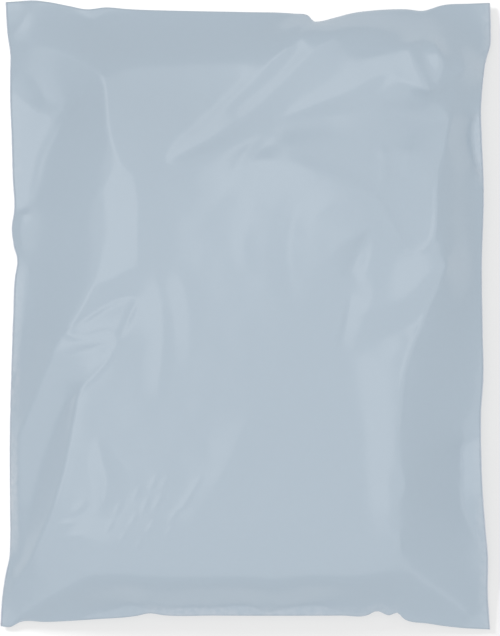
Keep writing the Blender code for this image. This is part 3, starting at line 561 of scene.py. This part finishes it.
def soften(map_of_heights, width):
    """Diffusion: each cell moves toward its four neighbours' mean, by (width / CELL)^2 in all."""
    share = np.clip((width / CELL) ** 2 / (2 * SPREAD_ROUNDS), 0, STEADY_SHARE)
    for _ in range(SPREAD_ROUNDS):
        padded = np.pad(map_of_heights, 1, mode="edge")
        around = padded[2:, 1:-1] + padded[:-2, 1:-1] + padded[1:-1, 2:] + padded[1:-1, :-2]
        map_of_heights = map_of_heights + share * (around - 4 * map_of_heights)
    return map_of_heights


film = soften(film, softness)
print("softened film, mm, at its highest:", round(film.max(), 1))

# %% [markdown]
# Laying the wrinkles on. A cell's height on a wrinkle is full on the crest, none past the foot of
# the flank, and hollow in between, the way a tent sags. Only the cells near a wrinkle are worked
# out.

# %% Lay the wrinkles on
CREST_ROUNDING = 1.2
FLANK_CURVE = 1.4
WRINKLE_STEP = 2.5


def nearest_on_path(x, y, path):
    """Distance to a path, the side of it (+1 is left), and the path's other columns there."""
    best = np.full(x.shape, np.inf)
    side = np.ones(x.shape)
    others = np.zeros((path.shape[1] - 2, *x.shape))
    for start, end in zip(path[:-1], path[1:]):
        run = end[:2] - start[:2]
        dx, dy = x - start[0], y - start[1]
        t = np.clip((dx * run[0] + dy * run[1]) / (run @ run), 0, 1)
        gap_x, gap_y = dx - t * run[0], dy - t * run[1]
        distance = np.hypot(gap_x, gap_y)
        closer = distance < best
        best = np.where(closer, distance, best)
        side = np.where(closer, np.where(run[0] * gap_y >= run[1] * gap_x, 1, -1), side)
        blend = start[2:, None, None] + t * (end[2:] - start[2:])[:, None, None]
        others = np.where(closer, blend, others)
    return best, side, others


def add_wrinkle(film, points):
    """height x (1 - distance / flank width)^curve, with the distance rounded near the crest."""
    path = smooth_path(points, WRINKLE_STEP)
    rounding = min(CREST_ROUNDING, path[:, 3:].min() / 3)
    reach = path[:, 3:].max() + 1
    low = np.floor((path[:, :2].min(axis=0) - reach - LOW) / CELL).astype(int).clip(0)
    high = np.ceil((path[:, :2].max(axis=0) + reach - LOW) / CELL).astype(int)
    window = (slice(low[1], high[1]), slice(low[0], high[0]))
    distance, side, (height, left, right) = nearest_on_path(columns[window], rows[window], path)
    from_crest = np.sqrt(distance**2 + rounding**2) - rounding
    flank = np.clip(1 - from_crest / np.where(side > 0, left, right), 0, 1)
    film[window] += height * flank**FLANK_CURVE


for points in (FOLDS | FINE_FOLDS).values():
    add_wrinkle(film, points)
print("film with wrinkles, mm, at its highest:", round(film.max(), 1))

# %% [markdown]
# Crinkles and slack. A crinkle is a short wrinkle that tapers off at both ends and leans to one
# side. Over everything lies a slack ripple, random but the same each run.

# %% Lay the crinkles and the ripple on
CRINKLE_LEAN = 0.45
CRINKLE_SWELL = 1.6
CRINKLE_TAPER = 0.6
RIPPLE_HEIGHT = 0.06
RIPPLE_WIDTH = 4.5
RIPPLE_SEED = 12
TINY = 0.001


def sample(map_of_values, x, y):
    """Value of a map between its cells: the four around a place, weighed by nearness."""
    across = np.clip((x - LOW[0]) / CELL, 0, COUNT[0] - 1 - TINY)
    up = np.clip((y - LOW[1]) / CELL, 0, COUNT[1] - 1 - TINY)
    i, j = across.astype(int), up.astype(int)
    s, t = across - i, up - j
    lower = map_of_values[j, i] * (1 - s) + map_of_values[j, i + 1] * s
    upper = map_of_values[j + 1, i] * (1 - s) + map_of_values[j + 1, i + 1] * s
    return lower * (1 - t) + upper * t


def add_crinkle(film, x, y, length, angle, height, width):
    """A wrinkle of three points: no height at either end, the full height in the middle."""
    turn = np.radians(angle)
    reach = length / 2 * np.array([np.cos(turn), np.sin(turn)])
    narrow = (width * CRINKLE_TAPER, width * CRINKLE_LEAN)
    wide = (width, width * CRINKLE_LEAN * CRINKLE_SWELL)
    start, end = (x - reach[0], y - reach[1]), (x + reach[0], y + reach[1])
    add_wrinkle(film, [(*start, 0, *narrow), (x, y, height, *wide), (*end, 0, *narrow)])


for crinkle in CRINKLES:
    add_crinkle(film, *crinkle)
ripple = soften(np.random.default_rng(RIPPLE_SEED).normal(size=film.shape), RIPPLE_WIDTH)
ripple *= RIPPLE_HEIGHT / ripple.std()
film += ripple
middle = round(float(sample(film, np.zeros(1), np.zeros(1))[0]), 1)
print("height at the middle, mm:", middle)
print("ripple, mm:", round(ripple.min(), 2), "to", round(ripple.max(), 2))

# %% [markdown]
# A grid over the bag: u goes from the left weld to the right one, and v from the bottom fold to the
# top. A Coons patch spreads it between the four sides, so its outer row is the welded edge.

# %% Grid between the four sides
FINE_STEP = 0.6


def along(side):
    """A side as a function of a parameter from 0 to 1, by length along it."""
    path = smooth_path(side, FINE_STEP)
    run = np.concatenate([[0], np.cumsum(np.hypot(*np.diff(path[:, :2], axis=0).T))])
    return lambda t: np.stack([np.interp(t, run / run[-1], path[:, k]) for k in range(3)], axis=-1)


left_side, right_side = along(LEFT_EDGE[::-1]), along(RIGHT_EDGE)
bottom_side, top_side = along(BOTTOM_EDGE), along(TOP_EDGE[::-1])


def coons_patch(u, v):
    """Left-to-right blend plus bottom-to-top blend, less the blend of the four corners."""
    u, v = u[..., None], v[..., None]
    across = (1 - u) * left_side(v[..., 0]) + u * right_side(v[..., 0])
    up = (1 - v) * bottom_side(u[..., 0]) + v * top_side(u[..., 0])
    low_left, low_right = bottom_side(np.array(0.0)), bottom_side(np.array(1.0))
    top_left, top_right = top_side(np.array(0.0)), top_side(np.array(1.0))
    low, top = (1 - u) * low_left + u * low_right, (1 - u) * top_left + u * top_right
    return across + up - ((1 - v) * low + v * top)


def unit_grid(count_u, count_v):
    """u and v from 0 to 1 in even steps, as two arrays with a row for each v."""
    return np.meshgrid(np.linspace(0, 1, count_u + 1), np.linspace(0, 1, count_v + 1))


middle = coons_patch(*(half[1:2, 1:2] for half in unit_grid(2, 2)))[0, 0]
print("the grid's middle, mm:", middle[:2].round(1).tolist())

# %% [markdown]
# The back. The bag rests on its back film, pressed flat under the garment and curling up to the
# weld in the last few centimetres. Over the flap it rides up by the flap's thickness. The
# photograph doesn't show it, so it is kept plain.

# %% Height of the back film
BACK_LIFT_WIDTH = 36.0
FLAT_LENGTH = 393.7
FLAP_DEPTH = 36.0
FLAP_SLANT = -0.02
FLAP_THICKNESS = 0.16
FLAP_CLEARANCE = 0.05
FLAP_RAMP = 4
WELD_THICKNESS = 0.3
WELD_BLEND = 3
BACK_SLACK = 3

closed_ring = np.vstack([ring, ring[:1]])


def past_flap_edge(x, y):
    """How far a place lies past the flap's glued edge, toward the top of the bag."""
    return y - (FLAT_LENGTH / 2 - FLAP_DEPTH + FLAP_SLANT * x)


def back_height(x, y):
    """Weld height x (1 - distance / lift width)^2 + slack, and the flap's thickness over it."""
    distance, _, (weld,) = nearest_on_path(x, y, closed_ring)
    near_weld = np.clip(1 - distance / BACK_LIFT_WIDTH, 0, 1)
    off_weld = np.clip(distance / WELD_BLEND, 0, 1)
    curl = (weld - WELD_THICKNESS / 2) * near_weld**2
    slack = sample(ripple, x, y) * near_weld * BACK_SLACK * off_weld
    over_flap = np.clip(past_flap_edge(x, y) / FLAP_RAMP + 1, 0, 1) * off_weld
    return np.maximum(curl + slack, 0) + over_flap * (FLAP_THICKNESS + 2 * FLAP_CLEARANCE)


print("the flap's glued edge, mm up the bag:", FLAT_LENGTH / 2 - FLAP_DEPTH)

# %% [markdown]
# Making a mesh. A grid's places run row by row, so its quads are four shifted copies of the
# numbers, and its rim is their outer row.

# %% Helpers for meshes
def new_mesh(name, places, faces):
    """A mesh object from places in millimetres and faces as number lists, smooth shaded."""
    mesh = bpy.data.meshes.new(name)
    mesh.from_pydata((np.asarray(places) * MM).tolist(), [], faces)
    mesh.shade_smooth()
    obj = bpy.data.objects.new(name, mesh)
    bpy.context.scene.collection.objects.link(obj)
    count = sum(len(face) - 2 for face in faces)
    print(name + ":", len(mesh.vertices), "places,", count, "triangles")
    return obj


def grid_numbers(count_u, count_v, first=0):
    """The numbers of a grid's places, which run row by row from the number first."""
    return first + np.arange((count_u + 1) * (count_v + 1)).reshape(count_v + 1, count_u + 1)


def grid_faces(count_u, count_v, first=0, flip=False):
    """Quads of a grid, turned over if flip is set."""
    number = grid_numbers(count_u, count_v, first)
    quads = np.stack([number[:-1, :-1], number[:-1, 1:], number[1:, 1:], number[1:, :-1]], axis=-1)
    quads = quads.reshape(-1, 4)
    return (quads[:, ::-1] if flip else quads).tolist()


def rim_numbers(count_u, count_v, first=0):
    """Numbers of a grid's outer places, anticlockwise from its first corner."""
    number = grid_numbers(count_u, count_v, first)
    return np.concatenate([number[0, :-1], number[:-1, -1], number[-1, :0:-1], number[:0:-1, 0]])


# %% [markdown]
# The bag as one closed skin. The front is a fine grid, and the plain back has one half as fine.
# They meet in a narrow rim, the weld: every other place on the front's outer row has a partner on
# the back's, so the rim closes with three triangles a step.

# %% The bag's front and back
FRONT_COLUMNS = 248
FRONT_ROWS = 318
BACK_COLUMNS = FRONT_COLUMNS // 2
BACK_ROWS = FRONT_ROWS // 2


def bag_places():
    """Front: film + half a weld, never nearer the back than a weld. Back: its own height."""
    u, v = unit_grid(FRONT_COLUMNS, FRONT_ROWS)
    patch = coons_patch(u, v)
    x, y, edge = patch[..., 0], patch[..., 1], patch[..., 2]
    border = np.ones(u.shape, bool)
    border[1:-1, 1:-1] = False
    front = np.where(border, edge, sample(film, x, y)) + WELD_THICKNESS / 2
    behind = back_height(x[::2, ::2], y[::2, ::2])
    back = np.where(border[::2, ::2], edge[::2, ::2] - WELD_THICKNESS / 2, behind)
    room = np.kron(behind + WELD_THICKNESS, np.ones((2, 2)))[: u.shape[0], : u.shape[1]]
    front[1:-1, 1:-1] = np.maximum(front, room)[1:-1, 1:-1]
    front_places = np.stack([x, y, front], axis=-1).reshape(-1, 3)
    back_places = np.stack([x[::2, ::2], y[::2, ::2], back], axis=-1).reshape(-1, 3)
    return front_places, back_places


def weld_faces(first_lower):
    """Three triangles for each step along the back's rim, which is two along the front's."""
    upper = rim_numbers(FRONT_COLUMNS, FRONT_ROWS)
    lower = rim_numbers(BACK_COLUMNS, BACK_ROWS, first_lower)
    middle, next_upper, next_lower = upper[1::2], np.roll(upper, -2)[::2], np.roll(lower, -1)
    threes = [(lower, middle, upper[::2]), (lower, next_lower, middle)]
    threes += [(next_lower, next_upper, middle)]
    return np.concatenate([np.stack(three, axis=-1) for three in threes]).tolist()


front_places, back_places = bag_places()
faces = grid_faces(FRONT_COLUMNS, FRONT_ROWS)
faces += grid_faces(BACK_COLUMNS, BACK_ROWS, len(front_places), flip=True)
faces += weld_faces(len(front_places))
bag = new_mesh("packed_bag", np.vstack([front_places, back_places]), faces)
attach(bag, "root")
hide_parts("mailer_bag")

# %% [markdown]
# The closing flap. The film runs on past the top, folds over and is glued to the back. It keeps the
# bag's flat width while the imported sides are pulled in, so its two lower corners stand out past the
# body. It is a thin grid with two faces, a hair below the back film.

# %% Closing flap
FLAP_COLUMNS = 180
FLAP_ROWS = 24
FLAP_LEFT = -150
FLAP_WIDTH = 303
FLAP_OVERHANG = 0.5
FLAP_TOP_INSET = 1.0
FLAP_WAVE = 0.35
FLAP_WAVE_LENGTH = 17

left_path, bottom_path, right_path, top_path = (smooth_path(side, FINE_STEP) for side in sides)


def left_x(y):
    """Where the left weld is at a height y up the bag."""
    return np.interp(y, left_path[::-1, 1], left_path[::-1, 0])


def right_x(y):
    """Where the right weld is at a height y up the bag."""
    return np.interp(y, right_path[:, 1], right_path[:, 0])


def flap_place(u, v):
    """Across from side to side with u, and up from the glued edge to the top fold with v."""
    x = FLAP_LEFT + FLAP_WIDTH * u
    wave = FLAP_WAVE * np.sin(x / FLAP_WAVE_LENGTH) * (1 - v)
    low = FLAT_LENGTH / 2 - FLAP_DEPTH + FLAP_SLANT * x + wave
    high = np.interp(x, top_path[::-1, 0], top_path[::-1, 1]) - FLAP_TOP_INSET
    y = low + (high - low) * v
    overhang = FLAP_OVERHANG * (1 - v)
    left, right = left_x(y) - overhang, right_x(y) + overhang
    return left + (right - left) * u, y


def closing_flap():
    """Top face = back height - clearance, under face a thickness below, joined by a rim."""
    x, y = flap_place(*unit_grid(FLAP_COLUMNS, FLAP_ROWS))
    z = back_height(x, y) - FLAP_CLEARANCE
    top = np.stack([x, y, z], axis=-1).reshape(-1, 3)
    upper = rim_numbers(FLAP_COLUMNS, FLAP_ROWS)
    lower = upper + len(top)
    faces = grid_faces(FLAP_COLUMNS, FLAP_ROWS)
    faces += grid_faces(FLAP_COLUMNS, FLAP_ROWS, len(top), flip=True)
    faces += np.stack([lower, np.roll(lower, -1), np.roll(upper, -1), upper], axis=-1).tolist()
    return new_mesh("closing_flap", np.vstack([top, top - [0, 0, FLAP_THICKNESS]]), faces)


flap = closing_flap()
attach(flap, "root")

# %% [markdown]
# The weld beads. A hot wire cuts and seals the sides in one go and leaves a thin, uneven bead of
# melted film: a small circle carried along the side, whose radius swells and shrinks.

# %% Weld beads
BEAD_RADIUS = 0.32
BEAD_STEP = 0.9
BEAD_CORNERS = 8
BEAD_SEED = 4
THINNEST = 0.55
THICKEST = 1.45
NEIGHBOUR_SHARES = (0.25, 0.5, 0.25)


def bead(name, side, seed):
    """Tube: place = path + radius(s) x (outward cos a + up sin a), closed by a cap at each end."""
    path = smooth_path(side, BEAD_STEP)
    ahead = np.gradient(path, axis=0)
    ahead /= np.linalg.norm(ahead, axis=1)[:, None]
    out = np.column_stack([ahead[:, 1], -ahead[:, 0], 0 * ahead[:, 0]])
    out /= np.linalg.norm(out, axis=1)[:, None]
    up = np.cross(out, ahead)
    swell = np.random.default_rng(seed).uniform(THINNEST, THICKEST, len(path))
    radius = BEAD_RADIUS * np.convolve(swell, NEIGHBOUR_SHARES, mode="same")
    angle = 2 * np.pi * np.arange(BEAD_CORNERS) / BEAD_CORNERS
    around = out[:, None] * np.cos(angle)[:, None] + up[:, None] * np.sin(angle)[:, None]
    places = path[:, None] + radius[:, None, None] * around
    number = np.arange(len(path) * BEAD_CORNERS).reshape(len(path), BEAD_CORNERS)
    following = np.roll(number, -1, axis=1)
    quads = np.stack([number[:-1], number[1:], following[1:], following[:-1]], axis=-1)
    faces = quads.reshape(-1, 4).tolist() + [number[0].tolist(), number[-1, ::-1].tolist()]
    tube = new_mesh(name, places.reshape(-1, 3), faces)
    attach(tube, "root")
    return tube


beads = [
    bead("left_weld_bead", LEFT_EDGE, BEAD_SEED),
    bead("right_weld_bead", RIGHT_EDGE, BEAD_SEED + 1),
]

# %% [markdown]
# The film's finish. Mailer film is polyethylene with a pale blue-grey pigment and a satin face:
# most of its look is soft reflected light. Faint clouds, a few millimetres across, stand for uneven
# pigment and gloss, and a very fine bump breaks up the reflection.

# %% Nodes that the finishes share
NOISE_LOW = 0.3
NOISE_HIGH = 0.7


def set_inputs(node, values):
    """Gives named inputs of a node a number or colour that is the same all over."""
    for name, value in values.items():
        node.inputs[name].default_value = value


def add_noise(nodes, links, coordinates, size, detail):
    """A noise whose features are about size metres across."""
    noise = nodes.new("ShaderNodeTexNoise")
    set_inputs(noise, {"Scale": 1 / size, "Detail": detail})
    links.new(coordinates.outputs["Object"], noise.inputs["Vector"])
    return noise.outputs["Fac"]


def add_range(nodes, links, source, low, high):
    """Maps a noise, which stays near a half, to a span of values."""
    span = nodes.new("ShaderNodeMapRange")
    set_inputs(span, {"From Min": NOISE_LOW, "From Max": NOISE_HIGH, "To Min": low, "To Max": high})
    links.new(source, span.inputs["Value"])
    return span.outputs["Result"]


def add_scale(nodes, links, factor):
    """A colour, still to be given, times a factor."""
    scale = nodes.new("ShaderNodeVectorMath")
    scale.operation = "SCALE"
    links.new(factor, scale.inputs["Scale"])
    return scale


def add_stored(nodes, name):
    """A value that is stored with each place of the mesh."""
    stored = nodes.new("ShaderNodeAttribute")
    stored.attribute_name = name
    return stored.outputs["Fac"]


print("a noise is stretched from", NOISE_LOW, "and", NOISE_HIGH, "to the span that is wanted")

# %% Film material
FILM_COLOUR = (0.436, 0.526, 0.611, 1)
FILM_ROUGHNESS = 0.21
FILM_IOR = 1.5
FILM_SPECULAR = 0.91
CLOUD_SIZE = 0.004
CLOUD_DETAIL = 3
CLOUD_CONTRAST = 0.004
GLOSS_SPAN = 0.006
GRAIN_SIZE = 0.0016
GRAIN_DETAIL = 2
GRAIN_STRENGTH = 0.1
GRAIN_DEPTH = 0.00003


def film_material(name, colour, roughness):
    """Colour x clouds, roughness + clouds, and a fine grain in the bump."""
    material = bpy.data.materials.new(name)
    material.use_nodes = True
    nodes, links = material.node_tree.nodes, material.node_tree.links
    shader = nodes["Principled BSDF"]
    set_inputs(shader, {"IOR": FILM_IOR, "Specular IOR Level": FILM_SPECULAR})
    coordinates = nodes.new("ShaderNodeTexCoord")
    clouds = add_noise(nodes, links, coordinates, CLOUD_SIZE, CLOUD_DETAIL)
    shade = add_range(nodes, links, clouds, 1 - CLOUD_CONTRAST, 1 + CLOUD_CONTRAST)
    tint = add_scale(nodes, links, shade)
    tint.inputs[0].default_value = colour[:3]
    links.new(tint.outputs["Vector"], shader.inputs["Base Color"])
    gloss = add_range(nodes, links, clouds, roughness - GLOSS_SPAN, roughness + GLOSS_SPAN)
    links.new(gloss, shader.inputs["Roughness"])
    bump = nodes.new("ShaderNodeBump")
    set_inputs(bump, {"Strength": GRAIN_STRENGTH, "Distance": GRAIN_DEPTH})
    grain = add_noise(nodes, links, coordinates, GRAIN_SIZE, GRAIN_DETAIL)
    links.new(grain, bump.inputs["Height"])
    links.new(bump.outputs["Normal"], shader.inputs["Normal"])
    return material


film_finish = film_material("satin_blue_grey_film", FILM_COLOUR, FILM_ROUGHNESS)
print("film roughness:", FILM_ROUGHNESS, "give or take", GLOSS_SPAN)

# %% [markdown]
# Two values that are stored with the mesh change the film's colour: one for the garment under it,
# with painted light and shade, and one for the heat of the side welds with painted light along the
# bottom fold, broken into speckles. The beads are the same film, melted: paler and rougher.

# %% Paler places, and the beads' finish
PALE_COLOUR = (0.56, 0.62, 0.69, 1)
SPECKLE_SIZE = 0.004
SPECKLE_DETAIL = 4
BEAD_COLOUR = (0.55, 0.60, 0.68, 1)
BEAD_ROUGHNESS = 0.5


def add_pale_places(material):
    """Colour = film x (garment with painted light and shade), mixed toward the pale colour by (weld heat
    and painted light) x speckles.
    """
    nodes, links = material.node_tree.nodes, material.node_tree.links
    base = nodes["Principled BSDF"].inputs["Base Color"]
    # The stored value is the garment seen through the film, together with painted light and shade.
    garment_shading_tint = add_scale(nodes, links, add_stored(nodes, "garment_and_painted_shading"))
    links.new(base.links[0].from_socket, garment_shading_tint.inputs[0])
    coordinates = nodes["Texture Coordinate"]
    speckle = add_noise(nodes, links, coordinates, SPECKLE_SIZE, SPECKLE_DETAIL)
    amount = nodes.new("ShaderNodeMath")
    amount.operation = "MULTIPLY"
    # The stored weld value is heat by the side welds, and painted light along the bottom fold.
    links.new(add_stored(nodes, "weld"), amount.inputs[0])
    links.new(add_range(nodes, links, speckle, 0, 1), amount.inputs[1])
    mix = nodes.new("ShaderNodeMix")
    mix.data_type = "RGBA"
    mix.inputs["B"].default_value = PALE_COLOUR
    links.new(amount.outputs["Value"], mix.inputs["Factor"])
    links.new(garment_shading_tint.outputs["Vector"], mix.inputs["A"])
    links.new(mix.outputs["Result"], base)


add_pale_places(film_finish)
bead_finish = film_material("melted_weld_film", BEAD_COLOUR, BEAD_ROUGHNESS)
for piece in (bag, flap):
    piece.data.materials.append(film_finish)
for tube in beads:
    tube.data.materials.append(bead_finish)
print("finishes:", film_finish.name, "and", bead_finish.name)

# %% [markdown]
# Paler film by the welds. Heat clouds the film in a few millimetres beside each side weld, in some
# stretches more than in others. Along the bottom fold the paler film is painted light, standing in
# for the white table's bounce and the light through the thin hem. Each list gives the coordinate
# along a side and how pale the film is there, from 0 to 1.

# %% Mark the film by the welds, with painted light along the bottom fold
WELD_REACH = 6.0
WELD_FALL = 0.5
LEFT_PALE = [
    (-200,0.3), (-175,0.2), (-152,0), (-147,0.5), (-138,0.4), (-125,0.5), (-104,1), (-82,0.6), (-70,0),
    (-58,0.5), (-40,0.8), (-15,0.4), (10,0.4), (26,0.2), (34,0), (68,0), (80,0.1), (95,0.3), (112,0.1),
    (130,0.2), (140,0), (200,0),
]
RIGHT_PALE = [
    (-200,0.3), (-150,0.5), (-128,0.5), (-110,0.2), (-80,0.2), (-68,0), (80,0), (88,0.6), (122,0.5),
    (130,0), (160,0.1), (170,0.5), (185,0.5), (200,0.3),
]
# Painted light: the paler film along the bottom fold stands in for the table's bounce and the light
# through the hem.
BOTTOM_PAINTED_LIGHT = [
    (-155,0), (-105,0), (-95,0.2), (-62,0.2), (-58,0.8), (-15,0.8), (0,0.6), (50,0.6), (58,0.3), (78,0.5),
    (90,0.5), (98,0), (155,0),
]

def places_of(obj):
    """x and y of every place of a mesh, in millimetres."""
    places = np.empty(len(obj.data.vertices) * 3)
    obj.data.vertices.foreach_get("co", places)
    return places.reshape(-1, 3).T[:2] / MM


def store(obj, name, values):
    """One value for each place of a mesh, under a name that the material reads."""
    attribute = obj.data.attributes.new(name, "FLOAT", "POINT")
    attribute.data.foreach_set("value", values.astype(np.float32))


def weld_heat_and_painted_light(x, y):
    """Heat by the side welds and painted light by the bottom fold: strength along the side x (1 -
    distance / reach)^fall, the greatest of three sides.
    """
    from_bottom = y - np.interp(x, bottom_path[:, 0], bottom_path[:, 1])
    runs = [(y, LEFT_PALE, x - left_x(y)), (y, RIGHT_PALE, right_x(y) - x)]
    runs.append((x, BOTTOM_PAINTED_LIGHT, from_bottom))
    pale_amounts = []
    for run, pale, gap in runs:
        near = np.clip(1 - gap / WELD_REACH, 0, 1) ** WELD_FALL
        pale_amounts.append(np.interp(run, *np.array(pale).T) * near)
    return np.max(pale_amounts, axis=0)


for piece in (bag, flap):
    # Weld heat at the sides; along the bottom fold this value is painted light.
    store(piece, "weld", weld_heat_and_painted_light(*places_of(piece)))
print("points of paleness:", len(LEFT_PALE + RIGHT_PALE + BOTTOM_PAINTED_LIGHT))

# %% [markdown]
# Under the film, and painted light and shade. The film lets a little of the pale garment through
# where it rests on it. Spots below zero are painted shade, in hollows and on the steep bottom slope,
# and the paler spots are partly painted light too. Each soft spot is x, y, its reach along and
# across, its turn in degrees, and how many percent paler, or darker if below zero, it makes the film.

# %% Garment under the film, with painted light and shade
# Spots below zero are painted shade; the paler spots are partly painted light.
UNDER_FILM_AND_PAINTED_SHADING = [
    (-46,130,46,24,-12,-3.2), (12,52,52,34,0,1.4), (66,-20,26,40,0,0.8), (86,30,24,20,0,1.2),
    (-84,122,10,30,0,-1.2), (0,-172,110,12,0,-1),
]

def garment_and_painted_shading(x, y):
    """1 + sum of percent / 100 x exp(-(along / reach)^2 - (across / reach)^2)."""
    total = np.ones(len(x))
    for spot_x, spot_y, long, wide, turn, percent in UNDER_FILM_AND_PAINTED_SHADING:
        cos, sin = np.cos(np.radians(turn)), np.sin(np.radians(turn))
        along_spot = (x - spot_x) * cos + (y - spot_y) * sin
        across_spot = (y - spot_y) * cos - (x - spot_x) * sin
        total += percent / 100 * np.exp(-(along_spot / long) ** 2 - (across_spot / wide) ** 2)
    return total


for piece in (bag, flap):
    # Stores the garment seen through the film, with painted light and shade, on every place.
    store(piece, "garment_and_painted_shading", garment_and_painted_shading(*places_of(piece)))
print("soft spots under the film:", len(UNDER_FILM_AND_PAINTED_SHADING))

# %% [markdown]
# The table. To the camera it is a white top that takes the bag's shadow: a grey card under a lamp
# of its own, with an even glow added so that the shadow stays pale. The scattered light that it
# throws back onto the bag comes from an even card instead.

# %% Table
TABLE_HALF = 3.0
TABLE_DROP = 0.1
TABLE_COLOUR = (0.26, 0.26, 0.26, 1)
WHITE = (1, 1, 1, 1)
TABLE_ROUGHNESS = 0.9
TABLE_GLOW = 0.58
TABLE_BOUNCE = 0.84


def add_rays(nodes, links):
    """1 for a ray from the camera, a mirror-like one or one let through, 0 for scattered light."""
    seen = nodes.new("ShaderNodeLightPath")
    total = seen.outputs["Is Camera Ray"]
    for ray in ("Is Glossy Ray", "Is Transmission Ray"):
        both = nodes.new("ShaderNodeMath")
        both.operation = "ADD"
        links.new(total, both.inputs[0])
        links.new(seen.outputs[ray], both.inputs[1])
        total = both.outputs["Value"]
    return total


def table_material():
    """Grey card + glow for what looks at the table, an even card for what it lights."""
    material = bpy.data.materials.new("white_table")
    material.use_nodes = True
    nodes, links = material.node_tree.nodes, material.node_tree.links
    shaded = nodes["Principled BSDF"]
    set_inputs(shaded, {"Base Color": TABLE_COLOUR, "Roughness": TABLE_ROUGHNESS})
    set_inputs(shaded, {"Specular IOR Level": 0.0})
    set_inputs(shaded, {"Emission Color": WHITE, "Emission Strength": TABLE_GLOW})
    even = nodes.new("ShaderNodeEmission")
    set_inputs(even, {"Strength": TABLE_BOUNCE})
    mix = nodes.new("ShaderNodeMixShader")
    links.new(add_rays(nodes, links), mix.inputs["Fac"])
    links.new(even.outputs["Emission"], mix.inputs[1])
    links.new(shaded.outputs["BSDF"], mix.inputs[2])
    links.new(mix.outputs["Shader"], nodes["Material Output"].inputs["Surface"])
    return material


half = TABLE_HALF / MM
corners = [(-half, -half), (half, -half), (half, half), (-half, half)]
table = new_mesh("table", [(*corner, -TABLE_DROP) for corner in corners], [[0, 1, 2, 3]])
table.data.materials.append(table_material())

# %% [markdown]
# Lamps and surroundings. The bag's light is soft and comes from above: a wide box over the bag, a
# smaller one up to the left, and a white room all around. A third, small lamp far off at the upper
# left reaches the table alone, and gives the bag's soft shadow at the right and below.

# %% Lamps and surroundings
OVERHEAD_PLACE = (-0.25, -0.5, 2.4)
OVERHEAD_SIZE = (4.7, 4.6)
OVERHEAD_WATTS = 22.7
STRIP_PLACE = (-0.65, 0.45, 2.1)
STRIP_SIZE = (0.9, 1.9)
STRIP_WATTS = 3.0
TABLE_LAMP_PLACE = (-2.25, 1.70, 1.03)
TABLE_LAMP_SIZE = (0.6, 0.6)
TABLE_LAMP_WATTS = 250
WORLD_STRENGTH = 0.71


def soft_box(name, place, size, power):
    """A rectangular lamp that faces straight down."""
    data = bpy.data.lights.new(name, "AREA")
    data.shape = "RECTANGLE"
    data.size, data.size_y = size
    data.energy = power
    lamp = bpy.data.objects.new(name, data)
    lamp.location = place
    bpy.context.scene.collection.objects.link(lamp)
    return lamp


def light_only(lamp, obj):
    """Light linking: the lamp reaches one object alone, but all still throw their shadows there."""
    reached = bpy.data.collections.new(lamp.name + "_reaches")
    reached.objects.link(obj)
    lamp.light_linking.receiver_collection = reached


soft_box("overhead_box", OVERHEAD_PLACE, OVERHEAD_SIZE, OVERHEAD_WATTS)
soft_box("left_strip", STRIP_PLACE, STRIP_SIZE, STRIP_WATTS)
table_lamp = soft_box("table_box", TABLE_LAMP_PLACE, TABLE_LAMP_SIZE, TABLE_LAMP_WATTS)
toward_bag = -Vector(TABLE_LAMP_PLACE)
table_lamp.rotation_euler = toward_bag.to_track_quat("-Z", "Y").to_euler()
light_only(table_lamp, table)
world = bpy.data.worlds.new("white_studio")
world.use_nodes = True
set_inputs(world.node_tree.nodes["Background"], {"Color": WHITE, "Strength": WORLD_STRENGTH})
bpy.context.scene.world = world
bpy.context.scene.view_settings.view_transform = "Standard"
print("lamps, watts:", OVERHEAD_WATTS, STRIP_WATTS, "and, on the table alone,", TABLE_LAMP_WATTS)
